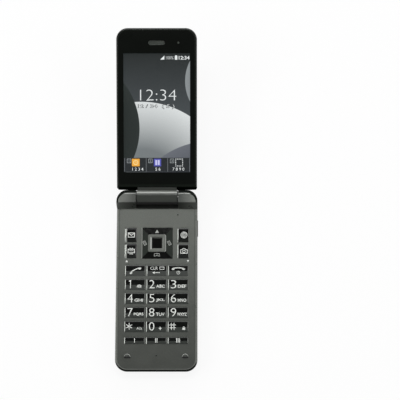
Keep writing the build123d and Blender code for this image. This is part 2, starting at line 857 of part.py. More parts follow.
with BuildPart() as rear_case:
    with BuildSketch():
        base_outline(0)
    extrude(amount=case_seam_height)
    fillet(rear_case.edges().group_by(Axis.Z)[0], back_edge_radius)
    # The battery cover takes the back from the mouthpiece end to the split, and a tray stands inside it
    with BuildSketch():
        with Locations((0, tray_edge)):
            Rectangle(2 * base_width, 2 * base_length, align=(Align.CENTER, Align.MAX))
    extrude(amount=cover_wall_top + cover_clearance, mode=Mode.SUBTRACT)
    with BuildSketch(Plane.XY.offset(tray_bottom)):
        base_outline(cover_wall + cover_clearance)
        with Locations((0, tray_edge)):
            Rectangle(base_width, 2 * base_length, align=(Align.CENTER, Align.MAX), mode=Mode.INTERSECT)
    extrude(amount=cover_wall_top + cover_clearance - tray_bottom)
    with BuildSketch(Plane.XY.offset(tray_bottom + tray_floor)):
        base_outline(rear_wall)
    extrude(amount=case_seam_height, mode=Mode.SUBTRACT)
    with BuildSketch(Plane.XY.offset(back_skin)):
        base_outline(rear_wall)
        with Locations((0, tray_edge + step_wall)):
            Rectangle(base_width, base_length, align=(Align.CENTER, Align.MIN), mode=Mode.INTERSECT)
    extrude(amount=case_seam_height, mode=Mode.SUBTRACT)
    # Battery bay, open to the back
    with BuildSketch(Plane.XY.offset(tray_bottom + tray_floor)):
        with Locations((0, battery_centre)):
            Rectangle(
                battery_width + 2 * battery_clearance + 2 * bay_wall,
                battery_length + 2 * battery_clearance + 2 * bay_wall,
            )
    extrude(amount=bay_top + bay_roof - tray_bottom - tray_floor)
    with BuildSketch(Plane.XY.offset(tray_bottom)):
        with Locations((0, battery_centre)):
            Rectangle(battery_width + 2 * battery_clearance, battery_length + 2 * battery_clearance)
    extrude(amount=bay_top - tray_bottom, mode=Mode.SUBTRACT)
    with BuildSketch(Plane.XY.offset(board_height - contacts_drop - part_clearance)):
        with Locations((contacts_x, battery_end)):
            Rectangle(
                contacts_width + 2 * part_clearance,
                contacts_length + part_clearance,
                align=(Align.CENTER, Align.MIN),
            )
    extrude(amount=case_seam_height, mode=Mode.SUBTRACT)
    # Screw tubes, with the heads let in from the back
    with BuildSketch(Plane.XY.offset(tray_bottom)):
        with Locations(*screw_points):
            Circle(boss_radius)
    extrude(amount=boss_bottom - cover_clearance - tray_bottom)
    with BuildSketch(Plane.XY.offset(tray_bottom)):
        with Locations(*screw_points):
            Circle(screw_head_radius + part_clearance)
    extrude(amount=screw_seat_height - tray_bottom, mode=Mode.SUBTRACT)
    with BuildSketch(Plane.XY.offset(tray_bottom)):
        with Locations(*screw_points):
            Circle(screw_radius + part_clearance)
    extrude(amount=case_seam_height, mode=Mode.SUBTRACT)
    # Room for the front case's bosses, which come down inside the walls
    with BuildSketch(Plane.XY.offset(boss_bottom - cover_clearance)):
        with Locations(*screw_points):
            Circle(boss_radius + cover_clearance)
    extrude(amount=case_seam_height, mode=Mode.SUBTRACT)
    # Pockets for the cover's tongues
    with BuildSketch(Plane.XY.offset(cover_skin - tongue_thickness - cover_clearance)):
        with Locations((0, tray_edge)):
            with GridLocations(tongue_pitch, 1, 3, 1):
                Rectangle(
                    tongue_width + 2 * cover_clearance,
                    tongue_length + cover_clearance,
                    align=(Align.CENTER, Align.MIN),
                )
    extrude(amount=tongue_thickness + 2 * cover_clearance, mode=Mode.SUBTRACT)
    # Camera hole, loudspeaker grille
    with BuildSketch():
        with Locations((camera_x, camera_y)):
            Circle(camera_window_radius + cover_clearance)
    extrude(amount=camera_window_recess + camera_window_thickness, mode=Mode.SUBTRACT)
    with BuildSketch():
        with Locations((camera_x, camera_y)):
            Circle(camera_hole_radius)
        with Locations((speaker_x, speaker_y)):
            with GridLocations(1, grille_pitch, 1, grille_slots):
                SlotOverall(grille_slot_length, grille_slot_width)
    extrude(amount=back_skin, mode=Mode.SUBTRACT)
    # Charging socket: a mouth through the wall, and a recess for its flap
    with BuildSketch(Plane.YZ.offset(-base_side)):
        with Locations((socket_y, case_seam_height)):
            Rectangle(
                flap_length + 2 * cover_clearance,
                flap_height + 2 * cover_clearance,
                align=(Align.CENTER, Align.MAX),
            )
    extrude(amount=flap_thickness + running_clearance, mode=Mode.SUBTRACT)
    with BuildSketch(Plane.YZ.offset(-base_side)):
        with Locations((socket_y, case_seam_height)):
            Rectangle(
                socket_width + 2 * cover_clearance,
                case_seam_height - socket_bottom + cover_clearance,
                align=(Align.CENTER, Align.MAX),
            )
    extrude(amount=rear_wall, mode=Mode.SUBTRACT)
    with BuildSketch(Plane.XY.offset(flap_bottom - flap_pin_length - running_clearance)):
        with Locations(flap_pin):
            Circle(flap_pin_radius + running_clearance)
    extrude(amount=flap_height, mode=Mode.SUBTRACT)
rear_case.part.label = "rear_case"
export_step(rear_case.part, "parts/rear_case.step")

# ---------------------------------------------------------------- battery cover and battery

with BuildPart() as battery_cover:
    with BuildSketch():
        base_outline(0)
    extrude(amount=cover_wall_top)
    fillet(battery_cover.edges().group_by(Axis.Z)[0], back_edge_radius)
    with BuildSketch(Plane.XY.offset(cover_skin)):
        base_outline(cover_wall)
    extrude(amount=cover_wall_top, mode=Mode.SUBTRACT)
    with BuildSketch():
        with Locations((0, cover_split)):
            Rectangle(2 * base_width, base_length, align=(Align.CENTER, Align.MIN))
    extrude(amount=cover_wall_top, mode=Mode.SUBTRACT)
    # Tongues that slide into the rear case
    with BuildSketch(Plane.XY.offset(cover_skin)):
        with Locations((0, cover_split - tongue_length)):
            with GridLocations(tongue_pitch, 1, 3, 1):
                Rectangle(tongue_width, 2 * tongue_length, align=(Align.CENTER, Align.MIN))
    extrude(amount=-tongue_thickness)
battery_cover.part.label = "battery_cover"
export_step(battery_cover.part, "parts/battery_cover.step")

with BuildPart() as battery_pack:
    with BuildSketch(Plane.XY.offset(battery_bottom)):
        with Locations((0, battery_centre)):
            Rectangle(battery_width, battery_length)
    extrude(amount=battery_thickness)
    fillet(battery_pack.edges().filter_by(Axis.Y), battery_edge_radius)
battery_pack.part.label = "battery_pack"
export_step(battery_pack.part, "parts/battery_pack.step")

with BuildPart() as battery_contacts:
    with BuildSketch(Plane.XY.offset(board_height)):
        with Locations((contacts_x, battery_end + running_clearance)):
            Rectangle(contacts_width, contacts_length, align=(Align.CENTER, Align.MIN))
    extrude(amount=-contacts_drop)
battery_contacts.part.label = "battery_contacts"
export_step(battery_contacts.part, "parts/battery_contacts.step")

# ---------------------------------------------------------------- camera, loudspeaker, motor

with BuildPart() as camera_module:
    with BuildSketch(Plane.XY.offset(camera_body_height)):
        with Locations((camera_x, camera_y)):
            Rectangle(camera_size, camera_size)
    extrude(amount=board_height - cover_clearance - camera_body_height)
    with BuildSketch(Plane.XY.offset(camera_window_recess + camera_window_thickness + cover_clearance)):
        with Locations((camera_x, camera_y)):
            Circle(camera_barrel_radius)
    extrude(amount=camera_body_height - camera_window_recess - camera_window_thickness - cover_clearance)
camera_module.part.label = "camera_module"
export_step(camera_module.part, "parts/camera_module.step")

with BuildPart() as camera_window:
    with BuildSketch(Plane.XY.offset(camera_window_recess)):
        with Locations((camera_x, camera_y)):
            Circle(camera_window_radius)
    extrude(amount=camera_window_thickness)
camera_window.part.label = "camera_window"
export_step(camera_window.part, "parts/camera_window.step")

with BuildPart() as loudspeaker:
    with BuildSketch(Plane.XY.offset(back_skin + cover_clearance)):
        with Locations((speaker_x, speaker_y)):
            RectangleRounded(speaker_width, speaker_length, speaker_edge_radius)
    extrude(amount=speaker_thickness)
loudspeaker.part.label = "loudspeaker"
export_step(loudspeaker.part, "parts/loudspeaker.step")

with BuildPart() as vibration_motor:
    with BuildSketch(Plane.XY.offset(board_height)):
        with Locations((motor_x, motor_y)):
            Circle(motor_radius)
    extrude(amount=-motor_thickness)
vibration_motor.part.label = "vibration_motor"
export_step(vibration_motor.part, "parts/vibration_motor.step")

# ---------------------------------------------------------------- charging socket and its flap

socket_mouth = -base_side + socket_setback
with BuildPart() as charging_socket:
    with BuildSketch(Plane.YZ.offset(socket_mouth)):
        with Locations((socket_y, socket_bottom)):
            Rectangle(socket_width, socket_thickness, align=(Align.CENTER, Align.MIN))
    extrude(amount=socket_depth)
    with BuildSketch(Plane.YZ.offset(socket_mouth)):
        with Locations((socket_y, socket_bottom + socket_wall)):
            Rectangle(
                socket_width - 2 * socket_wall,
                socket_thickness - 2 * socket_wall,
                align=(Align.CENTER, Align.MIN),
            )
    extrude(amount=socket_depth - socket_wall, mode=Mode.SUBTRACT)
    with BuildSketch(Plane.YZ.offset(socket_mouth + socket_depth - socket_wall)):
        with Locations((socket_y, socket_bottom + socket_thickness / 2)):
            Rectangle(socket_tongue_width, socket_tongue_thickness)
    extrude(amount=-socket_tongue_length)
charging_socket.part.label = "charging_socket"
export_step(charging_socket.part, "parts/charging_socket.step")

with BuildPart() as socket_flap:
    with BuildSketch(Plane.XY.offset(flap_bottom)):
        with Locations((-base_side, socket_y - flap_length / 2)):
            Rectangle(flap_thickness, flap_length - flap_thickness / 2, align=(Align.MIN, Align.MIN))
        with Locations(flap_pin):
            Circle(flap_thickness / 2)
    extrude(amount=flap_height)
    with BuildSketch(Plane.XY.offset(flap_bottom - flap_pin_length)):
        with Locations(flap_pin):
            Circle(flap_pin_radius)
    extrude(amount=flap_height + 2 * flap_pin_length)
socket_flap.part.label = "socket_flap"
export_step(socket_flap.part, "parts/socket_flap.step")

# ---------------------------------------------------------------- screws and bumpers of the base

with BuildPart() as case_screws:
    with BuildSketch(Plane.XY.offset(screw_seat_height)):
        with Locations(*screw_points):
            Circle(screw_head_radius)
    extrude(amount=-screw_head_thickness)
    with BuildSketch(Plane.XY.offset(screw_seat_height)):
        with Locations(*screw_points):
            Circle(screw_radius)
    extrude(amount=boss_top - screw_tip_depth - screw_seat_height)
case_screws.part.label = "case_screws"
export_step(case_screws.part, "parts/case_screws.step")

with BuildPart() as rubber_bumpers:
    with BuildSketch(Plane.XY.offset(deck_height)):
        with Locations(*bumper_points):
            add(bumper_outline())
    extrude(amount=bumper_rise)
    fillet(rubber_bumpers.edges().group_by(Axis.Z)[-1], bumper_edge_radius)
    with BuildSketch(Plane.XY.offset(deck_height)):
        with Locations(*bumper_points):
            Circle(bumper_stub_radius)
    extrude(amount=-bumper_stub_length)
rubber_bumpers.part.label = "rubber_bumpers"
export_step(rubber_bumpers.part, "parts/rubber_bumpers.step")

# ---------------------------------------------------------------- hinge

cartridge_start = -knuckle_width / 2 + part_clearance
shaft_end = cartridge_start + cartridge_length - cartridge_cap - part_clearance
with BuildPart() as hinge_shaft:
    # Fixed in the left ear
    with BuildSketch(hinge_station(-gap_half_width - shaft_seat_depth)):
        Circle(shaft_radius)
    extrude(amount=shaft_end + gap_half_width + shaft_seat_depth)
hinge_shaft.part.label = "hinge_shaft"
export_step(hinge_shaft.part, "parts/hinge_shaft.step")

with BuildPart() as hinge_cartridge:
    # Detent unit, held in the knuckle and turning on the shaft
    with BuildSketch(hinge_station(cartridge_start)):
        Circle(cartridge_radius)
    extrude(amount=cartridge_length)
    with BuildSketch(hinge_station(cartridge_start)):
        Circle(shaft_radius + running_clearance)
    extrude(amount=cartridge_length - cartridge_cap, mode=Mode.SUBTRACT)
hinge_cartridge.part.label = "hinge_cartridge"
export_step(hinge_cartridge.part, "parts/hinge_cartridge.step")

bush_start = knuckle_width / 2 - bush_reach
with BuildPart() as hinge_bush:
    # Hollow trunnion, fixed in the right ear
    with BuildSketch(hinge_station(bush_start)):
        Circle(bush_radius)
        Circle(bush_bore_radius, mode=Mode.SUBTRACT)
    extrude(amount=gap_half_width + bush_seat_depth - bush_start)
hinge_bush.part.label = "hinge_bush"
export_step(hinge_bush.part, "parts/hinge_bush.step")

flex_start = cartridge_start + cartridge_length + part_clearance + flex_thickness
with BuildPart() as hinge_flex:
    # Rolled along the hinge axis, then flat through the neck to the lid's board
    with BuildSketch(hinge_station(flex_start)):
        Circle(flex_radius)
    extrude(amount=tail_x - flex_gap - flex_start)
    with BuildSketch(lid_level(flex_height)):
        with Locations((flex_start, 0)):
            Rectangle(
                flex_width,
                display_near + flex_width,
                align=(Align.MIN, Align.MIN),
            )
    extrude(amount=flex_thickness)
hinge_flex.part.label = "hinge_flex"
export_step(hinge_flex.part, "parts/hinge_flex.step")

# ---------------------------------------------------------------- lid: case halves

with BuildPart() as lid_crown_envelope:
    # Everything on the screen side of the crowned outer face
    with BuildSketch(lid_across):
        with BuildLine():
            crown = ThreePointArc(
                (-base_side, lid_crown - lid_outer), (0, -lid_outer), (base_side, lid_crown - lid_outer)
            )
            Polyline(crown @ 1, (base_side, lid_outer), (-base_side, lid_outer), crown @ 0)
        make_face()
    extrude(amount=-lid_far_end)

with BuildPart() as lid_near_cut:
    # The slanting end face of the lid, beside the hinge, hollowed to swing past the ears
    with BuildSketch(lid_side):
        with BuildLine():
            Polyline(
                (lid_near_outer - lid_inner * near_slope, -lid_outer - lid_inner),
                (lid_near_inner + lid_inner * near_slope, 2 * lid_inner),
                (-lid_near_inner, 2 * lid_inner),
                (-lid_near_inner, -lid_outer - lid_inner),
                close=True,
            )
        make_face()
        Circle(lid_swing)
    extrude(amount=base_width, both=True)

with BuildPart() as lid_front_case:
    with BuildSketch(lid_level(-lid_seam)):
        add(lid_outline(0, lid_near_outer, lid_end_corner_radius))
    extrude(amount=lid_inner + lid_seam)
    fillet(lid_front_case.edges().group_by(lid_up_axis)[-1], lid_rim_edge_radius)
    # The near end wraps round to the outer face
    with BuildSketch(lid_level(-lid_outer)):
        add(lid_outline(0, lid_near_outer, lid_end_corner_radius))
        with Locations((0, lid_near_outer)):
            Rectangle(
                lid_width, lid_end_strip, align=(Align.CENTER, Align.MIN), mode=Mode.INTERSECT
            )
    extrude(amount=lid_outer - lid_seam)
    add(lid_crown_envelope.part, mode=Mode.INTERSECT)
    add(lid_near_cut.part, mode=Mode.SUBTRACT)
    # Openings for the window, the display and the earpiece
    with BuildSketch(lid_level(window_seat)):
        add(lid_outline(window_margin, lid_near_inner + window_near_margin))
    extrude(amount=lid_inner, mode=Mode.SUBTRACT)
    with BuildSketch(lid_level(-lid_seam)):
        with Locations((0, (display_near + display_far) / 2)):
            Rectangle(
                2 * display_half_width + 2 * part_clearance,
                display_far - display_near + 2 * part_clearance,
            )
        with Locations((0, earpiece_distance)):
            Rectangle(earpiece_width + 2 * part_clearance, earpiece_length + 2 * part_clearance)
        with Locations((sensor_x, sensor_distance)):
            Circle(sensor_radius + running_clearance)
    extrude(amount=lid_inner + lid_seam, mode=Mode.SUBTRACT)
    # Knuckle and neck
    with BuildSketch(lid_side):
        with BuildLine():
            FilletPolyline(
                (-knuckle_reach, -lid_outer),
                (knuckle_step, -lid_outer),
                (knuckle_step, knuckle_inner),
                (-knuckle_reach, knuckle_inner),
                radius=[knuckle_round, knuckle_crease, knuckle_round, knuckle_round],
                close=True,
            )
        make_face()
    extrude(amount=knuckle_width / 2, both=True)
    with BuildSketch(lid_side):
        with Locations((0, -neck_outer)):
            Rectangle(
                lid_near_outer + lid_end_strip,
                neck_outer + neck_inner,
                align=(Align.MIN, Align.MIN),
            )
        with Locations((0, -lid_seam)):
            Rectangle(lid_near_inner, lid_seam + neck_inner, align=(Align.MIN, Align.MIN))
    extrude(amount=neck_width / 2, both=True)
    # Bores of the knuckle: cartridge, flex, bush
    with BuildSketch(hinge_station(-knuckle_width / 2)):
        Circle(cartridge_radius + running_clearance)
    extrude(amount=cartridge_length + 2 * part_clearance, mode=Mode.SUBTRACT)
    with BuildSketch(hinge_station(-knuckle_width / 2)):
        Circle(flex_cavity_radius)
    extrude(amount=knuckle_width, mode=Mode.SUBTRACT)
    with BuildSketch(hinge_station(bush_start - part_clearance)):
        Circle(bush_radius + running_clearance)
    extrude(amount=knuckle_width, mode=Mode.SUBTRACT)
    with BuildSketch(lid_level(flex_height - part_clearance)):
        with Locations((flex_start - part_clearance, 0)):
            Rectangle(
                flex_width + 2 * part_clearance,
                display_near + part_clearance,
                align=(Align.MIN, Align.MIN),
            )
    extrude(amount=flex_thickness + 2 * part_clearance, mode=Mode.SUBTRACT)
    # Seats of the lid's screws, under the window
    with BuildSketch(lid_level(window_seat - screw_head_thickness - cover_clearance)):
        with Locations(*lid_screw_points):
            Circle(screw_head_radius + part_clearance)
    extrude(amount=lid_inner, mode=Mode.SUBTRACT)
    with BuildSketch(lid_level(-lid_seam)):
        with Locations(*lid_screw_points):
            Circle(screw_radius + part_clearance)
    extrude(amount=lid_inner + lid_seam, mode=Mode.SUBTRACT)
lid_front_case.part.label = "lid_front_case"
export_step(lid_front_case.part, "parts/lid_front_case.step")

with BuildPart() as lid_cover:
    with BuildSketch(lid_level(-lid_outer)):
        add(lid_outline(0, cover_near))
    extrude(amount=lid_outer - lid_seam)
    add(lid_crown_envelope.part, mode=Mode.INTERSECT)
    outer_face = lid_cover.faces().sort_by(lid_up_axis)[0]
    near_edge = outer_face.edges().sort_by(Axis.Y)[0]
    fillet([edge for edge in outer_face.edges() if edge is not near_edge], lid_edge_radius)
    with BuildSketch(lid_level(lid_skin - lid_outer)):
        add(lid_outline(lid_wall, cover_near + lid_wall))
    extrude(amount=lid_outer, mode=Mode.SUBTRACT)
    with BuildSketch(lid_level(lid_skin - lid_outer)):
        with Locations(*lid_screw_points):
            Circle(lid_post_radius)
    extrude(amount=lid_outer - lid_skin - lid_seam)
    with BuildSketch(lid_level(lid_skin - lid_outer)):
        with Locations(*lid_screw_points):
            Circle(screw_radius)
    extrude(amount=lid_outer, mode=Mode.SUBTRACT)
lid_cover.part.label = "lid_cover"
export_step(lid_cover.part, "parts/lid_cover.step")

# ---------------------------------------------------------------- lid: screen side

with BuildPart() as display_window:
    with BuildSketch(lid_level(window_seat)):
        add(
            lid_outline(
                window_margin + running_clearance,
                lid_near_inner + window_near_margin + running_clearance,
            )
        )
        with Locations((0, earpiece_distance)):
            SlotOverall(earpiece_slot_width, earpiece_slot_length, mode=Mode.SUBTRACT)
        with Locations((sensor_x, sensor_distance)):
            Circle(sensor_radius + running_clearance, mode=Mode.SUBTRACT)
    extrude(amount=window_thickness)
display_window.part.label = "display_window"
export_step(display_window.part, "parts/display_window.step")

with BuildPart() as main_display:
    with BuildSketch(lid_level(display_top)):
        with Locations((0, (display_near + display_far) / 2)):
            Rectangle(2 * display_half_width, display_far - display_near)
    extrude(amount=-display_thickness)
main_display.part.label = "main_display"
export_step(main_display.part, "parts/main_display.step")

with BuildPart() as lid_board:
    with BuildSketch(lid_level(lid_board_top)):
        with Locations((0, (display_near + display_far) / 2)):
            Rectangle(
                2 * display_half_width - 2 * lid_board_margin,
                display_far - display_near - 2 * part_clearance,
            )
    extrude(amount=-lid_board_thickness)
lid_board.part.label = "lid_board"
export_step(lid_board.part, "parts/lid_board.step")

with BuildPart() as clock_display:
    # Small outer display behind the cover's skin
    with BuildSketch(lid_level(lid_skin - lid_outer + running_clearance)):
        with Locations((0, clock_distance)):
            Rectangle(clock_width, clock_length)
    extrude(amount=clock_thickness)
clock_display.part.label = "clock_display"
export_step(clock_display.part, "parts/clock_display.step")

with BuildPart() as earpiece_speaker:
    with BuildSketch(lid_level(window_seat - cover_clearance)):
        with Locations((0, earpiece_distance)):
            RectangleRounded(earpiece_width, earpiece_length, speaker_edge_radius)
    extrude(amount=-earpiece_thickness)
earpiece_speaker.part.label = "earpiece_speaker"
export_step(earpiece_speaker.part, "parts/earpiece_speaker.step")

with BuildPart() as earpiece_mesh:
    with BuildSketch(lid_level(window_seat)):
        with Locations((0, earpiece_distance)):
            SlotOverall(
                earpiece_slot_width - 2 * running_clearance,
                earpiece_slot_length - 2 * running_clearance,
            )
    extrude(amount=mesh_thickness)
earpiece_mesh.part.label = "earpiece_mesh"
export_step(earpiece_mesh.part, "parts/earpiece_mesh.step")

with BuildPart() as light_sensor:
    with BuildSketch(lid_level(lid_inner - 2 * window_recess)):
        with Locations((sensor_x, sensor_distance)):
            Circle(sensor_radius)
    extrude(amount=-sensor_length)
light_sensor.part.label = "light_sensor"
export_step(light_sensor.part, "parts/light_sensor.step")

with BuildPart() as lid_screws:
    with BuildSketch(lid_level(window_seat - cover_clearance)):
        with Locations(*lid_screw_points):
            Circle(screw_head_radius)
    extrude(amount=-screw_head_thickness)
    with BuildSketch(lid_level(window_seat - cover_clearance)):
        with Locations(*lid_screw_points):
            Circle(screw_radius)
    extrude(amount=-lid_screw_length)
lid_screws.part.label = "lid_screws"
export_step(lid_screws.part, "parts/lid_screws.step")
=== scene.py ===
"""An open flip phone: materials, legends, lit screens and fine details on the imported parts."""

import math

import bmesh
import bpy
from mathutils import Matrix, Vector
from mathutils.geometry import tessellate_polygon


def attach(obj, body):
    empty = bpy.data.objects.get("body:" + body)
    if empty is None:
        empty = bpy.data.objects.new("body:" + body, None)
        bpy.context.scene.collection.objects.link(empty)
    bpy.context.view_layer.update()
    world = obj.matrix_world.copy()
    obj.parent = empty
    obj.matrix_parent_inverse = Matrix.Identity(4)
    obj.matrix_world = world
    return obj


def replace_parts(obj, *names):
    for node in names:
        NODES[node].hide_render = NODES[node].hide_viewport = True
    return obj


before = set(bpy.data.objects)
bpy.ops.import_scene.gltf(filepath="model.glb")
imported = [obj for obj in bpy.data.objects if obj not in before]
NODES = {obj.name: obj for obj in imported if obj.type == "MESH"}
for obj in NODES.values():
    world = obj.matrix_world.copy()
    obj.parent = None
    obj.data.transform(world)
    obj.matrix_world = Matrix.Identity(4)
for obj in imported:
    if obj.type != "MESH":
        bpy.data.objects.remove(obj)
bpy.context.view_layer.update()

# ---------------- sizes repeated from the CAD, in mm

MM = 0.001
DECK_HEIGHT = 9.2
HINGE_Y = 52.85
HINGE_HEIGHT = 12.5
LID_LEAN = math.radians(15)
LID_OUTER = -4.5
LID_CROWN = 0.5
LID_HALF_WIDTH = 25.85
LID_NEAR_INNER = 7.05
# The half width of the neck's paint and how far it reaches along the lid, and the same for the knuckle's
NECK_PAINT = ((12.45, 6.9), (13.3, 4.25))
KNUCKLE_ENDS = 12.8
# Where along the lid, from the hinge, the painted highlight line runs over the ledge
LEDGE = (4.1, 4.4)
DISPLAY_TOP = 1.55
CLOCK_ALONG = 50.1
SCREEN_HALF_WIDTH = 21.15
SCREEN_ENDS = (16.3, 91.6)
PANEL_HALF_WIDTH = 24.15
PANEL_ENDS = (-55.45, 46.15)
PANEL_CORNER = 5.75
PANEL_CUT = 0.8
PANEL_SHADE = (-57.0, 47.0)
CORNER_SPOT = (18.45, 49.85)
SADDLE_START = 45.95
SADDLE_TOP = 9.5
KEY_TOP = 9.6
KEY_SLOPE = 0.25
KEY_LIP = 0.9
LIP_EDGE = 9.3
COLUMN = 13.683
DIGIT_LENGTH = 7.1
SHORTCUT_LENGTH = 4.5
FUNCTION_COLUMN = 16.8
FUNCTION_LENGTH = 9.3
# Rows of keys, by their middle's distance from the hinge: the call key's and the pitch of those after it, the
# shortcuts', and the two beside the navigation key
CALL_ROW = 46.58
ROW_PITCH = 8.87
SHORTCUT_ROW = 90.75
FUNCTION_ROWS = (23.9, 34.2)
FUNCTION_SHIFT = 0.4
NAV_Y = 23.75
NAV_HALF = 9.85
# The width of the painted highlight along the navigation key's left edge
NAV_HIGHLIGHT = 0.45
NAV_RIDGE = 5.7
NAV_HEIGHTS = (9.3, 9.5)
BUMPER_SHADE = -48.0
MICROPHONE_Y = -47.45
INDICATOR = (13.2, 42.15)
CAMERA_SPOT = (-4.0, 38.55)
CAMERA_CLEAR = 2.5
SPEAKER_SPOT = (13.55, 38.35)
REAR_SCREWS = ((21.75, 10.6), (21.25, -52.65))
REAR_SCREW_HEAD = 1.5
LID_SCREWS = (10.6, 101.0)
LID_SCREW_X = 20.35
LID_SCREW_HEAD = 1.55
SCREW_HEAD = 1.3
SCREW_RADIUS = 0.7
BATTERY_POLES = (-12.0, -9.0, -6.0)
BATTERY_Y = -15.0
BATTERY_FOOT = 1.15
BATTERY_BAND = 2.0
BATTERY_FILM = 23.6
SOCKET_PINS = (-21.55, 26.45, 4.49)
PIN_PITCH = 0.66
BOARD_TOP = 6.5
DOME_FOOT = 6.68
BOARD_CHIPS = ((-12.0, 41.45, 6.0, 5.0), (-3.0, 41.95, 4.4, 4.4), (5.0, 40.95, 3.2, 2.4))
CHIP_ROW = (-16.0, 36.95)
CHIP_PITCH = 2.1

UPSIDE_DOWN = Matrix.Rotation(math.pi, 4, "X")
# Both seats turn millimetres on a face into the shared frame: the deck's, and the lid's as it rests open
DECK = Matrix.Identity(4)
LID = Matrix.Translation((0, HINGE_Y, HINGE_HEIGHT)) @ Matrix.Rotation(LID_LEAN, 4, "X")


def srgb(*levels):
    """A screen colour, 0 to 255, as the linear colour that shaders take."""
    parts = [level / 255 for level in levels]
    return tuple(p / 12.92 if p <= 0.04045 else ((p + 0.055) / 1.055) ** 2.4 for p in parts) + (1.0,)


def scaled(colour, share):
    return tuple(min(1.0, part * share) for part in colour[:3]) + (1.0,)


def corners(x, y, width, length):
    """The corners of a rectangle about x, y."""
    ends = ((-0.5, -0.5), (0.5, -0.5), (0.5, 0.5), (-0.5, 0.5))
    return [(x + a * width, y + b * length) for a, b in ends]


def bend(x, y, radius, start, end, steps):
    """Points along an arc about x, y, between two angles in degrees."""
    turns = [math.radians(start + (end - start) * step / steps) for step in range(steps + 1)]
    return [(x + radius * math.cos(t), y + radius * math.sin(t)) for t in turns]


def add_object(name, data):
    made = bpy.data.objects.new(name, data)
    bpy.context.scene.collection.objects.link(made)
    return made


# ---------------- materials

# The part of a noise's range over which a colour or roughness changes fully
FLECKS = (0.3, 0.7)
# How far a face turns aside or to the far end where the top's paint goes over into the outline's painted
# shade
SHADE_TURNING = (0.25, 0.4)
# The case's rims of painted shade, near black: how far past the middle of a corner's round, towards the end,
# the rim's width changes, and how far from that middle the rim starts, along the sides and round the end
EAR_SHADE_RIM = (0.0, 4.0, 6.4, 5.5)
NEAR_SHADE_RIM = (1.0, 4.5, 7.35, 6.4)
# The near black of the case's painted shade
SHADE_CHARCOAL = srgb(24, 27, 24)
BLACK_GLASS = (0.004, 0.004, 0.004, 1)


class Nodes:
    """Short calls that add nodes to a shader tree. A mask is 1 at some places and 0 elsewhere."""

    def __init__(self, tree):
        self.tree = tree

    def join(self, socket, value):
        """Link a socket to another one, or set it to a plain value."""
        if isinstance(value, bpy.types.NodeSocket):
            self.tree.links.new(value, socket)
        else:
            socket.default_value = value

    def node(self, kind, inputs=None, **settings):
        made = self.tree.nodes.new(f"ShaderNode{kind}")
        for name, value in settings.items():
            setattr(made, name, value)
        for name, value in (inputs or {}).items():
            self.join(made.inputs[name], value)
        return made

    def add(self, kind, inputs=None, output=0, **settings):
        """One output of a new node."""
        return self.node(kind, inputs, **settings).outputs[output]

    def math(self, operation, *values):
        return self.add("Math", dict(enumerate(values)), operation=operation)

    def measure(self, operation, *vectors):
        return self.add("VectorMath", dict(enumerate(vectors)), "Value", operation=operation)

    def fold(self, operation, first, *others):
        for other in others:
            first = self.math(operation, first, other)
        return first

    def both(self, *masks):
        """The product: 1 where all of the masks are 1."""
        return self.fold("MULTIPLY", *masks)

    def either(self, *masks):
        """The largest: 1 where any of the masks is 1."""
        return self.fold("MAXIMUM", *masks)

    def outside(self, mask):
        return self.math("SUBTRACT", 1.0, mask)

    def above(self, value, limit):
        return self.math("GREATER_THAN", value, limit)

    def below(self, value, limit):
        return self.math("LESS_THAN", value, limit)

    def between(self, value, low, high):
        return self.both(self.above(value, low), self.below(value, high))

    def within(self, value, limit):
        """1 less than limit to either side of zero."""
        return self.below(self.math("ABSOLUTE", value), limit)

    def beyond(self, value, limit):
        """1 more than limit to either side of zero."""
        return self.above(self.math("ABSOLUTE", value), limit)

    def spread(self, value, low, high, new_low=0.0, new_high=1.0):
        """A value between low and high, carried over to lie between new_low and new_high."""
        inputs = {"Value": value, "From Min": low, "From Max": high, "To Min": new_low, "To Max": new_high}
        return self.add("MapRange", inputs)

    def fade(self, value, low, high, full=1.0):
        """Full up to low, and nothing from high on."""
        return self.spread(value, low, high, full, 0.0)

    def mix(self, factor, first, second):
        return self.add("Mix", {0: factor, 6: first, 7: second}, 2, data_type="RGBA")

    def blend(self, factor, first, second):
        """Two shaders mixed."""
        return self.add("MixShader", {0: factor, 1: first, 2: second})

    def rays(self, *kinds):
        """A mask of the rays of some kinds."""
        path = self.node("LightPath").outputs
        return self.either(*[path[f"Is {kind} Ray"] for kind in kinds])


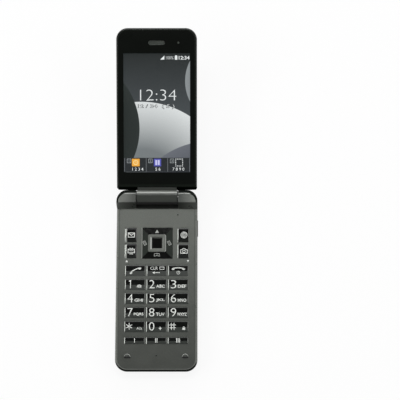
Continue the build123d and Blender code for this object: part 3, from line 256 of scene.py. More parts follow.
class Paint(Nodes):
    """A material with a Principled shader."""

    def __init__(self, name, roughness=0.5, metallic=0.0, **sockets):
        self.name = name
        self.material = bpy.data.materials.new(name)
        self.material.use_nodes = True
        super().__init__(self.material.node_tree)
        self.shader = self.tree.nodes["Principled BSDF"]
        for socket, value in ({"Roughness": roughness, "Metallic": metallic} | sockets).items():
            self.shader.inputs[socket.replace("_", " ")].default_value = value
        self.roughness = roughness
        texture = self.node("TexCoord").outputs
        self.spot, self.facing = texture["Object"], texture["Normal"]

    def to(self, socket, value):
        self.tree.links.new(value, self.shader.inputs[socket])

    def source(self, socket="Base Color"):
        """What drives a socket of the shader so far."""
        return self.shader.inputs[socket].links[0].from_socket

    def cover(self, mask, colour):
        """Another colour over the paint so far, where the mask is 1."""
        self.to("Base Color", self.mix(mask, self.source(), colour))

    def show(self, shader):
        """Another shader in place of the Principled one alone."""
        self.tree.links.new(shader, self.tree.nodes["Material Output"].inputs[0])

    def noise(self, size, detail=2.0, stretch=(1, 1, 1)):
        """Noise whose blotches are about size mm, drawn out along an axis by stretch."""
        spot = self.add("Mapping", {"Vector": self.spot, "Scale": [1 / s for s in stretch]})
        return self.add("TexNoise", {"Vector": spot, "Scale": 1 / (size * MM), "Detail": detail}, "Fac")

    def waves(self, scale, direction):
        return self.add("TexWave", {"Vector": self.spot, "Scale": scale}, "Fac", bands_direction=direction)

    def flakes(self):
        return self.spread(self.noise(0.12, 0.0), 0.45, 0.75)

    def axes(self, vector=None):
        """The three parts of the place on the part, or of another vector."""
        return self.node("SeparateXYZ", {0: vector or self.spot}).outputs

    def lid_axes(self):
        """How far across and how far along the lid a place is, in mm from the hinge."""
        way = (0, math.cos(LID_LEAN), math.sin(LID_LEAN))
        along = self.math("DIVIDE", self.measure("DOT_PRODUCT", self.spot, way), MM)
        start = HINGE_Y * math.cos(LID_LEAN) + HINGE_HEIGHT * math.sin(LID_LEAN)
        return self.math("DIVIDE", self.axes()[0], MM), self.math("SUBTRACT", along, start)

    def tint(self, colour, size, share, stretch=(1, 1, 1)):
        """Colour that varies by share either way, in blotches of size mm."""
        fleck = self.spread(self.noise(size, stretch=stretch), *FLECKS)
        self.to("Base Color", self.mix(fleck, scaled(colour, 1 - share), scaled(colour, 1 + share)))

    def haze(self, size, share, stretch=(1, 1, 1)):
        """Roughness that varies by share either way, in blotches of size mm."""
        low, high = self.roughness * (1 - share), self.roughness * (1 + share)
        self.to("Roughness", self.spread(self.noise(size, 3.0, stretch), *FLECKS, low, high))

    def relief(self, height, depth, strength=1.0):
        """Bumps of depth mm where height runs from 0 to 1."""
        self.to("Normal", self.add("Bump", {"Height": height, "Distance": depth * MM, "Strength": strength}))

    def clear_inside(self, inside):
        """Clear polished glass where inside is 1, and this paint elsewhere."""
        facing = self.add("LayerWeight", {"Blend": 0.5}, "Facing")
        gloss = self.spread(self.math("POWER", facing, 5.0), 0.0, 1.0, 0.035, 1.0)
        clear = self.blend(gloss, self.add("BsdfTransparent"), self.add("BsdfGlossy", {"Roughness": 0.03}))
        self.show(self.blend(inside, self.shader.outputs[0], clear))


def metallic_paint(name, colour, roughness, metallic=0.2, **sockets):
    """Satin paint with fine metal flakes and a faint orange peel."""
    paint = Paint(name, roughness, metallic, **sockets)
    paint.tint(colour, 14.0, 0.04)
    paint.cover(paint.flakes(), scaled(colour, 1.35))
    paint.haze(6.0, 0.12)
    paint.relief(paint.noise(0.5), 0.004, 0.6)
    return paint


def case_paint():
    """Grey metallic on top; painted shade, near black, where the case turns down and round the ears'
    outlines.
    """
    paint = metallic_paint("case_paint", srgb(98, 101, 96), 0.3, 0.3, Coat_Roughness=0.1)
    facing_side, facing_far, facing_up = paint.axes(paint.facing)
    across, along, up = paint.axes()
    across = paint.math("ABSOLUTE", across)
    ears = paint.above(along, SADDLE_START * MM)
    # How far a place lies from the middle of the nearest corner's round
    to_side = paint.math("SUBTRACT", across, CORNER_SPOT[0] * MM)
    to_end = paint.math("SUBTRACT", paint.math("ABSOLUTE", along), CORNER_SPOT[1] * MM)
    corner = paint.add("CombineXYZ", {0: paint.either(to_side, 0.0), 1: paint.either(to_end, 0.0)})
    distance = paint.measure("LENGTH", corner)

    # A mask for the painted shade that rims a corner
    def rim(sizes, softness):
        start = paint.spread(to_end, *[size * MM for size in sizes])
        return paint.spread(paint.math("SUBTRACT", distance, start), -softness * MM, 0.0)

    # Painted shade, near black: on the ears' faces that turn aside or to the far end and round their corners,
    # and on the faces and rims at the near end
    turned = paint.spread(paint.math("ABSOLUTE", facing_side), *SHADE_TURNING)
    outline = paint.either(turned, paint.spread(facing_far, *SHADE_TURNING), rim(EAR_SHADE_RIM, 0.3))
    outline = paint.both(ears, outline)
    near_end_shade = paint.either(paint.fade(facing_far, -0.4, -0.15), rim(NEAR_SHADE_RIM, 0.15))
    near_end_shade = paint.both(near_end_shade, paint.outside(ears))
    # Painted shade on the low strip between the ears, under the knuckle
    saddle_shade = paint.both(ears, paint.below(up, SADDLE_TOP * MM))
    # Painted light: the ears grow paler towards their outer ends, on top and on the sloping face before them
    outward_light = paint.spread(across, 15.0 * MM, 24.0 * MM)
    paint.cover(ears, paint.mix(outward_light, srgb(62, 65, 61), srgb(106, 109, 104)))
    paint.cover(paint.either(outline, near_end_shade), SHADE_CHARCOAL)
    paint.cover(saddle_shade, srgb(34, 37, 34))
    # Painted light and shade on faces that tilt away from up: paler towards the ears' outer ends, and darker
    # where the ears' faces turn to the near end
    slope_light = paint.mix(outward_light, srgb(64, 67, 63), srgb(104, 107, 103))
    light_and_steep_shade = paint.mix(paint.both(ears, paint.fade(facing_far, -0.8, -0.6)), srgb(40, 43, 40), slope_light)
    paint.cover(paint.fade(facing_up, 0.32, 0.6), light_and_steep_shade)
    matt = paint.either(outline, paint.fade(facing_up, 0.25, 0.6), near_end_shade)
    paint.to("Coat Weight", paint.fade(matt, 0.0, 1.0, 0.7))
    paint.to("Specular IOR Level", paint.fade(matt, 0.0, 1.0, 0.5))
    return paint


def panel_paint():
    """Grey metallic, with painted shade that darkens it towards the mouthpiece."""
    paint = metallic_paint("panel_paint", srgb(92, 95, 90), 0.36, 0.5)
    # Painted shade: the deck darkens towards the mouthpiece
    deck_shade = paint.add("VectorMath", {0: paint.source(), "Scale": 0.62}, operation="SCALE")
    paint.cover(paint.fade(paint.axes()[1], *[end * MM for end in PANEL_SHADE]), deck_shade)
    return paint


def gloss_plastic(name, colour, roughness, **sockets):
    """Polished moulded plastic, with faint smears and a slow ripple."""
    paint = Paint(name, roughness, **sockets)
    paint.tint(colour, 9.0, 0.1)
    paint.haze(12.0, 0.12)
    paint.relief(paint.noise(16.0), 0.004, 0.3)
    return paint


def lid_plastic(name, colour, roughness, coat=0.0):
    """Gloss black on the lid, and grey on its neck and knuckle with a painted highlight line where they meet.
    """
    paint = gloss_plastic(name, colour, roughness, Coat_Roughness=0.03)
    across, along = paint.lid_axes()
    _, far, up = paint.axes(paint.facing)
    neck = [paint.both(paint.within(across, x), paint.below(along, y)) for x, y in NECK_PAINT]
    neck = paint.either(*neck)
    # A painted highlight, silver and a little metallic, where the neck meets the knuckle and along the ledge
    line = paint.both(paint.spread(far, 0.3, 0.4), paint.fade(far, 0.85, 0.95))
    line = paint.both(paint.either(line, paint.between(along, *LEDGE)), neck, paint.above(up, 0.0))
    flake_and_shade = paint.mix(paint.flakes(), srgb(52, 55, 51), srgb(62, 65, 61))
    # Painted shade, near black, on the neck's and knuckle's faces that turn to the near end
    flake_and_shade = paint.mix(paint.fade(far, -0.54, -0.42), flake_and_shade, srgb(3, 3, 3))
    grey = paint.mix(line, flake_and_shade, srgb(166, 169, 164))
    grey = paint.mix(paint.beyond(across, KNUCKLE_ENDS), grey, srgb(14, 16, 14))
    paint.cover(neck, grey)
    paint.to("Metallic", paint.math("MULTIPLY", line, 0.6))
    paint.to("Roughness", paint.math("ADD", paint.source("Roughness"), paint.math("MULTIPLY", neck, 0.2)))
    # No gloss on the end face beside the knuckle
    end = paint.both(paint.below(along, LID_NEAR_INNER), paint.outside(neck))
    paint.to("Specular IOR Level", paint.fade(end, 0.0, 1.0, 0.5))
    if coat:
        paint.to("Coat Weight", paint.fade(end, 0.0, 1.0, coat))
    return paint


def steel(name, colour, roughness, size=0.25, stretch=(18, 1, 1)):
    """Bare metal with the fine lines of its rolling or grinding."""
    paint = Paint(name, roughness, 1.0)
    paint.tint(colour, size, 0.12, stretch)
    paint.haze(size, 0.3, stretch)
    paint.relief(paint.noise(size, 3.0, stretch), 0.004, 0.5)
    return paint


def key_cap(name, centre, left, right, pitch=0.0, near_reflection=srgb(58, 61, 58), lip_light=srgb(76, 79, 75)):
    """Gloss black keys, a painted reflection on their near half, and highlights painted on metallic edges.

    The edges lie left of left and right of right, in mm from the middle of a key, and along the lip."""
    paint = Paint(name, 0.09)
    across, _, up = paint.axes()
    _, along, facing_up = paint.axes(paint.facing)
    place = paint.math("SUBTRACT", paint.math("DIVIDE", across, MM), centre)
    if pitch:
        place = paint.math("WRAP", place, -pitch / 2, pitch / 2)
    side = paint.either(paint.below(place, left), paint.above(place, right))
    lip = paint.both(paint.above(along, 0.25), paint.below(up, LIP_EDGE * MM))
    paint.tint(srgb(9, 11, 9), 3.0, 0.25)
    # Painted reflection: the near half of each key in a lighter grey
    paint.cover(paint.both(paint.below(along, -0.03), paint.above(facing_up, 0.5)), near_reflection)
    # Painted highlights on the side edges, partly metallic, brighter on the left than on the right
    paint.cover(side, paint.mix(paint.below(place, 0.0), srgb(92, 95, 90), srgb(156, 159, 154)))
    # The far lip in its own painted light
    paint.cover(lip, lip_light)
    plated_and_highlit = paint.either(side, lip)
    paint.to("Metallic", paint.math("MULTIPLY", plated_and_highlit, 0.5))
    rough = paint.spread(paint.noise(1.5), *FLECKS, 0.06, 0.13)
    paint.to("Roughness", paint.math("ADD", rough, paint.math("MULTIPLY", plated_and_highlit, 0.18)))
    paint.relief(paint.noise(2.5), 0.004, 0.4)
    return paint


def navigation_black():
    """Gloss black, with painted light on the left and right faces and a painted highlight along the left
    edge.
    """
    paint = Paint("navigation_black", 0.1)
    across, _, up = paint.axes(paint.facing)
    paint.tint(srgb(5, 6, 5), 3.0, 0.2)
    # Painted light: the left and right faces a shade lighter
    paint.cover(paint.both(paint.beyond(across, 0.02), paint.above(up, 0.9)), srgb(44, 48, 44))
    # Painted highlight along the left edge
    paint.cover(paint.below(paint.axes()[0], (NAV_HIGHLIGHT - NAV_HALF) * MM), srgb(150, 153, 148))
    paint.haze(2.0, 0.3)
    paint.relief(paint.noise(2.5), 0.004, 0.4)
    return paint


def trim_paint():
    """Silver with a painted highlight on the slopes that face the right."""
    paint = metallic_paint("bright_trim", srgb(100, 103, 98), 0.3, 0.5)
    # Painted highlight on the slopes that face the right
    paint.cover(paint.spread(paint.axes(paint.facing)[0], 0.05, 0.2), srgb(196, 199, 194))
    return paint


def window_glass():
    """Clear over the lit part of the display, printed black round it."""
    paint = gloss_plastic("window_black", srgb(9, 12, 9), 0.05)
    across, along = paint.lid_axes()
    inside = paint.both(paint.within(across, SCREEN_HALF_WIDTH), paint.between(along, *SCREEN_ENDS))
    paint.clear_inside(inside)
    return paint


def glow(name, *levels):
    """Lit screen dots: an even colour with a trace of the dot grid."""
    paint = Paint(name, 0.4, Base_Color=BLACK_GLASS, Emission_Strength=1.0)
    colour = srgb(*levels)
    paint.to("Emission Color", paint.mix(paint.waves(1500.0, "X"), scaled(colour, 0.96), colour))
    return paint


def wallpaper():
    """Soft curved sheets in greys, one behind the other."""
    # Each sheet: its middle, its radius and its shading's width, in mm, and the shades inside and at the edge
    sheets = (
        ((46.0, 74.0), 28.0, 24.0, srgb(48, 54, 56), srgb(140, 146, 148)),
        ((-10.0, 4.0), 57.0, 30.0, srgb(118, 124, 126), srgb(222, 226, 226)),
        ((-58.0, 44.0), 47.0, 24.0, srgb(12, 17, 15), srgb(34, 42, 40)),
        ((34.0, -16.0), 52.0, 26.0, srgb(58, 62, 70), srgb(104, 108, 116)),
    )
    paint = Paint("screen", 0.35, Emission_Strength=1.0)
    across, along = paint.lid_axes()
    place = paint.add("CombineXYZ", {0: across, 1: along})
    shade = paint.mix(paint.spread(along, *SCREEN_ENDS), srgb(88, 94, 98), srgb(26, 32, 32))
    for centre, radius, width, dark, bright in sheets:
        reach = paint.measure("DISTANCE", place, (*centre, 0))
        sheet = paint.mix(paint.spread(reach, radius - width, radius), dark, bright)
        shade = paint.mix(paint.fade(reach, radius - 0.1, radius + 0.1), shade, sheet)
    lit = paint.mix(paint.within(across, SCREEN_HALF_WIDTH), (0, 0, 0, 1), shade)
    paint.to("Emission Color", lit)
    paint.to("Base Color", paint.mix(0.02, BLACK_GLASS, lit))
    return paint


def circuit_board():
    """Green solder mask over copper tracks."""
    paint = Paint("circuit_board", 0.38)
    inputs = {"Vector": paint.spot, "Scale": 900.0, "Randomness": 0.0}
    cells = paint.add("TexVoronoi", inputs, "Distance", distance="MANHATTAN", feature="F2")
    track = paint.spread(cells, 0.75, 0.8)
    paint.tint((0.016, 0.075, 0.03, 1), 5.0, 0.12)
    paint.cover(track, (0.03, 0.13, 0.05, 1))
    paint.haze(3.0, 0.2)
    paint.relief(track, 0.02, 0.7)
    return paint


def dome_sheet():
    """A clear film over the board, with a steel dome under each key."""
    paint = Paint("dome_film_steel", 0.3)
    dome = paint.above(paint.axes()[2], DOME_FOOT * MM)
    paint.tint((0.28, 0.3, 0.24, 1), 4.0, 0.1)
    paint.cover(dome, (0.6, 0.6, 0.58, 1))
    paint.to("Metallic", paint.math("MULTIPLY", dome, 0.9))
    paint.haze(1.0, 0.3)
    return paint


def battery_wrap():
    """A metal can in a dark printed film, with a plain grey band and bare ends."""
    paint = Paint("battery_wrap", 0.35)
    along = paint.axes()[1]
    end = paint.beyond(paint.math("SUBTRACT", along, BATTERY_Y * MM), BATTERY_FILM * MM)
    paint.tint((0.02, 0.02, 0.022, 1), 6.0, 0.15)
    paint.cover(paint.above(along, BATTERY_BAND * MM), (0.13, 0.135, 0.14, 1))
    paint.cover(end, (0.55, 0.56, 0.57, 1))
    paint.to("Metallic", end)
    paint.haze(4.0, 0.25)
    paint.relief(paint.noise(3.0), 0.01, 0.4)
    return paint


def flex_film():
    """Amber film with copper tracks along the hinge."""
    paint = Paint("flex_film", 0.32)
    track = paint.spread(paint.waves(520.0, "Y"), 0.45, 0.55)
    paint.tint((0.33, 0.14, 0.03, 1), 3.0, 0.12)
    paint.cover(track, (0.62, 0.3, 0.12, 1))
    paint.to("Metallic", paint.math("MULTIPLY", track, 0.6))
    paint.relief(track, 0.01, 0.5)
    return paint


def woven_mesh():
    """Fine black wire cloth."""
    paint = Paint("mesh", 0.42, 0.7)
    weave = paint.both(paint.waves(900.0, "X"), paint.waves(900.0, "Y"))
    paint.to("Base Color", paint.mix(weave, srgb(34, 38, 34), srgb(112, 118, 112)))
    paint.relief(weave, 0.06, 0.8)
    return paint


def rubber(name, colour):
    """Matt and finely grained, also for printing ink."""
    paint = Paint(name, 0.75)
    paint.tint(colour, 2.5, 0.12)
    paint.haze(1.5, 0.1)
    paint.relief(paint.noise(0.35), 0.01, 0.6)
    return paint


def silicone():
    """Grey rubber; the two bumpers have painted shade on the near edge, a painted highlight round the arch.
    """
    paint = rubber("silicone", srgb(80, 83, 79))
    _, along, up = paint.axes()
    _, arch, facing_up = paint.axes(paint.facing)
    shown = paint.above(up, DECK_HEIGHT * MM)
    paint.cover(shown, srgb(62, 65, 61))
    # Painted highlight round the arch
    paint.cover(paint.both(shown, paint.below(facing_up, 0.95), paint.above(arch, 0.1)), srgb(196, 199, 194))
    # Painted shade along the near edge
    paint.cover(paint.both(shown, paint.below(along, BUMPER_SHADE * MM)), srgb(4, 5, 4))
    return paint


def camera_glass():
    """A polished cover, clear in the middle and black round it."""
    paint = gloss_plastic("camera_glass", srgb(10, 11, 13), 0.04)
    middle = [part * MM for part in (*CAMERA_SPOT, 0.5)]
    paint.clear_inside(paint.below(paint.measure("DISTANCE", paint.spot, middle), CAMERA_CLEAR * MM))
    return paint


PAINTS = (
    case_paint(),
    metallic_paint("rear_case_paint", srgb(30, 33, 30), 0.42, 0.1, Specular_IOR_Level=0.25),
    panel_paint(),
    key_cap("key_cap", 0.0, -6.02, 6.12, COLUMN),
    navigation_black(),
    trim_paint(),
    metallic_paint("side_key_paint", srgb(84, 87, 82), 0.3),
    lid_plastic("lid_black", srgb(16, 21, 16), 0.16),
    lid_plastic("lid_mirror_black", srgb(24, 31, 25), 0.12, 0.6),
    window_glass(),
    wallpaper(),
    glow("clock_screen", 20, 22, 21),
    circuit_board(),
    steel("shield_steel", (0.55, 0.55, 0.53, 1), 0.34),
    silicone(),
    dome_sheet(),
    steel("microphone_can", (0.3, 0.26, 0.18, 1), 0.28),
    battery_wrap(),
    gloss_plastic("camera_black", srgb(24, 25, 27), 0.3),
    camera_glass(),
    steel("speaker_steel", (0.3, 0.3, 0.3, 1), 0.4),
    steel("socket_steel", (0.6, 0.6, 0.6, 1), 0.25),
    steel("screw_steel", (0.12, 0.12, 0.125, 1), 0.35, 0.15, (1, 1, 6)),
    steel("hinge_steel", (0.5, 0.5, 0.5, 1), 0.25, 0.2, (14, 1, 1)),
    flex_film(),
    woven_mesh(),
    gloss_plastic("sensor_lens", srgb(62, 68, 62), 0.2),
)
SLOTS = {paint.name: paint for paint in PAINTS}
for node in NODES.values():
    for place in node.material_slots:
        if place.material.name in SLOTS:
            place.material = SLOTS[place.material.name].material

# The painted reflection on the function keys' near half, also the colour of the left ones' painted lip
FUNCTION_REFLECTION = srgb(24, 26, 24)
left_paint = key_cap("key_cap_left", -FUNCTION_COLUMN, -2.4, 4.0, 0.0, FUNCTION_REFLECTION, FUNCTION_REFLECTION)
right_paint = key_cap("key_cap_right", FUNCTION_COLUMN, -3.2, 3.25, 0.0, FUNCTION_REFLECTION)
for key, paint in (("mail", left_paint), ("tv", left_paint), ("web", right_paint), ("camera", right_paint)):
    NODES[f"key_{key}"].material_slots[0].material = paint.material

LEGEND_WHITE = rubber("legend_ink", srgb(228, 231, 226))
LEGEND_SILVER = rubber("silver_ink", srgb(165, 168, 163))

# ---------------- printed and lit drawings

SHARP = math.radians(35)


class Shapes:
    """Points, in mm, and the faces between them, gathered into one piece."""

    def __init__(self):
        self.points = []
        self.faces = []

    def add(self, points, faces):
        start = len(self.points)
        self.points += points
        self.faces += [[start + corner for corner in face] for face in faces]
        return self

    def made(self, name, paint, slot, body="base", seat=DECK, smooth=False):
        """A mesh piece on a seat, riding on a body. Smooth keeps its sharp corners."""
        mesh = bpy.data.meshes.new(name)
        mesh.from_pydata([(seat @ Vector(point)) * MM for point in self.points], [], self.faces)
        mesh.validate()
        mesh.materials.append(paint.material)
        shaped = bmesh.new()
        shaped.from_mesh(mesh)
        bmesh.ops.recalc_face_normals(shaped, faces=shaped.faces)
        shaped.to_mesh(mesh)
        shaped.free()
        if smooth:
            mesh.shade_smooth()
            mesh.set_sharp_from_angle(angle=SHARP)
        made = add_object(name, mesh)
        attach(made, body)
        return made


class Drawing(Shapes):
    """Flat shapes, to be made into one thin closed piece."""

    def polygon(self, *points):
        return self.add(points, [range(len(points))])

    def box(self, x, y, width, height):
        return self.polygon(*corners(x, y, width, height))

    def outline(self, x, y, width, height, line):
        """A rectangle drawn as a line of that width."""
        return self.stroke(corners(x, y, width, height), line, closed=True)

    def stroke(self, points, width, closed=False):
        """A band of even width along the points, with mitred corners."""
        count = len(points)
        left, right = [], []
        for index, point in enumerate(points):
            here = Vector(point)
            before = Vector(points[index - 1]) if closed or index > 0 else None
            after = Vector(points[(index + 1) % count]) if closed or index < count - 1 else None
            ways = [(here - before).normalized()] if before else []
            ways += [(after - here).normalized()] if after else []
            way = sum(ways, Vector((0, 0))).normalized()
            normal = Vector((-way.y, way.x))
            reach = width / 2 / max(0.4, abs(way.dot(ways[0])))
            left.append(tuple(here + normal * reach))
            right.append(tuple(here - normal * reach))
        steps = range(count if closed else count - 1)
        faces = [[i + count, (i + 1) % count + count, (i + 1) % count, i] for i in steps]
        return self.add(left + right, faces)

    def arc(self, x, y, radius, width, start=0, end=360):
        """A bent band of even width between two angles in degrees, or a whole ring."""
        points = bend(x, y, radius, start, end, 28)
        ring = end - start >= 360
        return self.stroke(points[:-1] if ring else points, width, ring)

    def text(self, words, x, y, height, thin=0.0, width=None, spacing=1.0):
        """Letters of that height centred on x, y, in Blender's own font, drawn thinner by thin."""
        curve = bpy.data.curves.new("words", "FONT")
        curve.body = words
        curve.offset = -thin
        curve.space_character = spacing
        curve.resolution_u = 4
        shown = add_object("words", curve)
        bpy.context.view_layer.update()
        mesh = bpy.data.meshes.new_from_object(shown)
        spots = [vertex.co.xy for vertex in mesh.vertices]
        faces = [list(face.vertices) for face in mesh.polygons]
        bpy.data.objects.remove(shown)
        bpy.data.meshes.remove(mesh)
        low, high = [Vector([end(spot[i] for spot in spots) for i in range(2)]) for end in (min, max)]
        middle, size = (low + high) / 2, high - low
        across = (width or size.x * height / size.y) / size.x
        points = [((s.x - middle.x) * across + x, (s.y - middle.y) * height / size.y + y) for s in spots]
        return self.add(points, faces)

    def placed(self, x, y, degrees=0):
        """All of it turned about the origin and moved."""
        turn = math.radians(degrees)
        cos, sin = math.cos(turn), math.sin(turn)
        self.points = [(a * cos - b * sin + x, a * sin + b * cos + y) for a, b in self.points]
        return self


def film(drawing, surface, cuts, top, bottom):
    """The drawing as a thin closed film between two levels over a surface."""
    flat = bmesh.new()
    spots = [flat.verts.new((x, y, 0)) for x, y in drawing.points]
    for face in drawing.faces:
        if len(set(face)) > 2:
            flat.faces.new([spots[i] for i in face])
    bmesh.ops.remove_doubles(flat, verts=flat.verts, dist=0.001)
    for spot, normal in cuts:
        whole = flat.verts[:] + flat.edges[:] + flat.faces[:]
        bmesh.ops.bisect_plane(flat, geom=whole, plane_co=spot, plane_no=normal)
    bmesh.ops.triangulate(flat, faces=flat.faces)
    bmesh.ops.recalc_face_normals(flat, faces=flat.faces)
    for face in flat.faces:
        if face.normal.z < 0:
            face.normal_flip()
    flat.verts.index_update()
    count = len(flat.verts)
    points = []
    for level in (top, bottom):
        points += [(v.co.x, v.co.y, surface(v.co.x, v.co.y) + level) for v in flat.verts]
    faces = [[v.index for v in face.verts] for face in flat.faces]
    faces += [[i + count for i in reversed(face)] for face in faces]
    for edge in flat.edges:
        if len(edge.link_loops) == 1:
            a, b = edge.link_loops[0].vert.index, edge.other_vert(edge.link_loops[0].vert).index
            faces.append([b, a, a + count, b + count])
    flat.free()
    return Shapes().add(points, faces)


def deck(x, y):
    return DECK_HEIGHT


def printed(name, drawing, slot, paint=LEGEND_WHITE, surface=deck, cuts=(), body="base", seat=DECK,
            rise=0.02):
    """A drawing printed on a surface of the part, and sunk a little into it."""
    film(drawing, surface, cuts, rise, -0.01).made(name, paint, slot, body, seat)


# ---------------- key legends

# The star and the hash, left of the middle of their keys
SIGN_X = -3.45
SIGN_LINE = 0.42


def key_surface(centre_y, length):
    """The height of a key's top, which has a ridge across its middle and a lip at its far edge."""
    near = (-length / 2, KEY_TOP - KEY_SLOPE)
    ridge = (-KEY_LIP / 2, KEY_TOP)
    lip = (length / 2 - KEY_LIP, KEY_TOP - KEY_SLOPE / 2)

    def level(_, y):
        (y0, z0), (y1, z1) = (near, ridge) if y - centre_y < ridge[0] else (ridge, lip)
        return z0 + (y - centre_y - y0) * (z1 - z0) / (y1 - y0)

    return level, [((0, centre_y + ridge[0], 0), (0, 1, 0))]


def legend(key, drawing, x, row, length):
    """A drawing on the key at x whose middle is a row's length from the hinge."""
    surface, cuts = key_surface(HINGE_Y - row, length)
    drawing.placed(x, HINGE_Y - row)
    printed(f"legend_{key}", drawing, "key_cap", LEGEND_WHITE, surface, cuts, f"key_{key}")


def digit(figure, letters):
    """A large thin figure on the left of a key, small letters low on the right."""
    drawn = Drawing()
    if figure == "1":
        drawn.stroke([(-3.9, 1.7), (-2.9, 2.45), (-2.9, -2.6)], 0.48)
    else:
        drawn.text(figure, -3.0, 0.0, 5.2, 0.012, width=3.35)
    return drawn.text(letters, 2.4, -1.25, 1.95, -0.02, width=min(6.1, 1.8 * len(letters)))


def asterisk():
    drawn = Drawing()
    for turn in (90, 30, 150):
        drawn.stroke(bend(SIGN_X, 0, 2.1, turn, turn + 180, 1), SIGN_LINE)
    return drawn.text("A/a", 2.9, -1.25, 1.75)


def hash_mark():
    drawn = Drawing()
    for side in (-0.85, 0.85):
        drawn.stroke([(SIGN_X + side, -2.2), (SIGN_X + side, 2.2)], SIGN_LINE)
        drawn.stroke([(SIGN_X - 1.95, side), (SIGN_X + 1.95, side)], SIGN_LINE)
    # A small closed padlock
    return drawn.box(3.6, -1.5, 1.7, 1.3).arc(3.6, -0.8, 0.55, 0.25, 0, 180)


def handset(length):
    """A telephone handset seen from the side: a thin bowed grip between two thick ends."""
    thick, bow, steps = 1.15, 0.5, 16
    shares = [-1 + 2 * i / steps for i in range(steps + 1)]
    drawn = Drawing().stroke([(share * length / 2, bow * (1 - share * share)) for share in shares], 0.55)
    end = ((-0.9, 0.45), (0.75, 0.35), (0.95, -0.3), (0.6, -0.75), (-0.35, -0.5))
    for side in (-1, 1):
        x = side * (length / 2 - thick * 0.7)
        drawn.polygon(*[(x + side * a * thick, b * thick - 0.15) for a, b in end][::side])
    return drawn


def end_marks():
    """A handset over the sign for power."""
    drawn = handset(7.8).placed(0, 1.1).arc(0, -1.45, 0.95, 0.3, -240, 60)
    return drawn.stroke([(0, -1.55), (0, -0.2625)], 0.3)


def clear_marks():
    """Letters for clear, an empty box and a plain arrow back."""
    drawn = Drawing().text("CLR", -1.7, 1.35, 1.9).outline(3.25, 1.35, 2.7, 1.5, 0.32)
    drawn.stroke([(2.0, -1.5), (-1.6, -1.5)], 0.36)
    return drawn.polygon((-2.8, -1.5), (-1.4, -2.3), (-1.4, -0.7))


def envelope():
    return Drawing().outline(0, 0, 4.0, 2.7, 0.42).stroke([(-1.95, 1.2), (0, -0.25), (1.95, 1.2)], 0.42)


def television():
    drawn = Drawing().outline(0, -0.05, 4.0, 2.3, 0.42)
    drawn.stroke([(-1.15, 1.9), (0, 1.2), (1.15, 1.9)], 0.32)
    drawn.stroke([(-1.2, 0.1), (1.2, 0.1)], 0.3)
    return drawn.stroke([(-1.1, -1.9), (1.1, -1.9)], 0.34)


def globe():
    drawn = Drawing().arc(0, 0, 1.95, 0.34)
    drawn.stroke([(-1.9, 0), (1.9, 0)], 0.24).stroke([(0, -1.9), (0, 1.9)], 0.24)
    for side in (-1, 1):
        middle = 90 + side * 90
        drawn.arc(side * 1.75, 0, 2.6, 0.22, middle - 47, middle + 47)
        drawn.stroke([(-1.65, side * 1.0), (1.65, side * 1.0)], 0.22)
    return drawn


def camera_mark():
    right = [(2.1, -1.5), (2.1, 0.8), (1.2, 0.8), (0.75, 1.5)]
    left = [(-x, y) for x, y in reversed(right)]
    return Drawing().stroke(right + left, 0.36, closed=True).arc(0, -0.3, 0.85, 0.34)


def bars(count):
    drawn = Drawing()
    for index in range(count):
        drawn.box((index - (count - 1) / 2) * 0.95, -0.1, 0.42, 2.7)
    return drawn


DIGITS = ("1 .@", "2 ABC", "3 DEF", "4 GHI", "5 JKL", "6 MNO", "7 PQRS", "8 TUV", "9 WXYZ")
for index, label in enumerate(DIGITS):
    row = CALL_ROW + ROW_PITCH * (1 + index // 3)
    legend(label[0], digit(*label.split()), COLUMN * (index % 3 - 1), row, DIGIT_LENGTH)
for key, drawing, side, row in (
    ("star", asterisk(), -1, 4),
    ("0", digit("0", "+"), 0, 4),
    ("hash", hash_mark(), 1, 4),
    ("call", handset(7.4).placed(0, 0, 27), -1, 0),
    ("clear", clear_marks(), 0, 0),
    ("end", end_marks(), 1, 0),
):
    legend(key, drawing, COLUMN * side, CALL_ROW + ROW_PITCH * row, DIGIT_LENGTH)
for number in (1, 2, 3):
    legend(f"shortcut_{number}", bars(number), COLUMN * (number - 2), SHORTCUT_ROW, SHORTCUT_LENGTH)
for key, drawing, side, row in (
    ("mail", envelope(), -1, 0),
    ("tv", television(), -1, 1),
    ("web", globe(), 1, 0),
    ("camera", camera_mark(), 1, 1),
):
    legend(key, drawing, side * FUNCTION_COLUMN + FUNCTION_SHIFT, FUNCTION_ROWS[row], FUNCTION_LENGTH)


# ---------------- marks on the navigation key and the deck


def nav_surface(x, y):
    """The navigation key slopes up from its edges to the trim."""
    edge, ridge = NAV_HEIGHTS
    share = (NAV_HALF - max(abs(x), abs(y - NAV_Y))) / (NAV_HALF - NAV_RIDGE)
    return edge + share * (ridge - edge)


# An arrow on the far side, an open book on the near side, and a leaning page of two lines left and right
nav_marks = Drawing().polygon((-1.25, 6.6), (1.25, 6.6), (0, 8.7))
book = [(-1.7, -8.4), (0, -8.05), (1.7, -8.4), (1.7, -6.9), (0, -6.55), (-1.7, -6.9)]
nav_marks.stroke(book, 0.3, closed=True).stroke([(0, -8.0), (0, -6.6)], 0.26)
for side in (-1, 1):
    page = Drawing().outline(0, 0, 1.5, 2.5, 0.32).box(0, 0.5, 0.7, 0.28).box(0, -0.45, 0.7, 0.28)
    page.placed(side * 7.85, 0, 28)
    nav_marks.add(page.points, page.faces)
nav_marks.placed(0, NAV_Y)
printed("navigation_marks", nav_marks, "navigation_black", LEGEND_SILVER, nav_surface, body="nav_pad")

page_marks = Drawing().polygon((-19.95, 11.55), (-18.45, 11.55), (-19.2, 12.95))
page_marks.polygon((19.8, 11.45), (20.55, 12.85), (19.05, 12.85))
printed("page_marks", page_marks, "panel_paint")


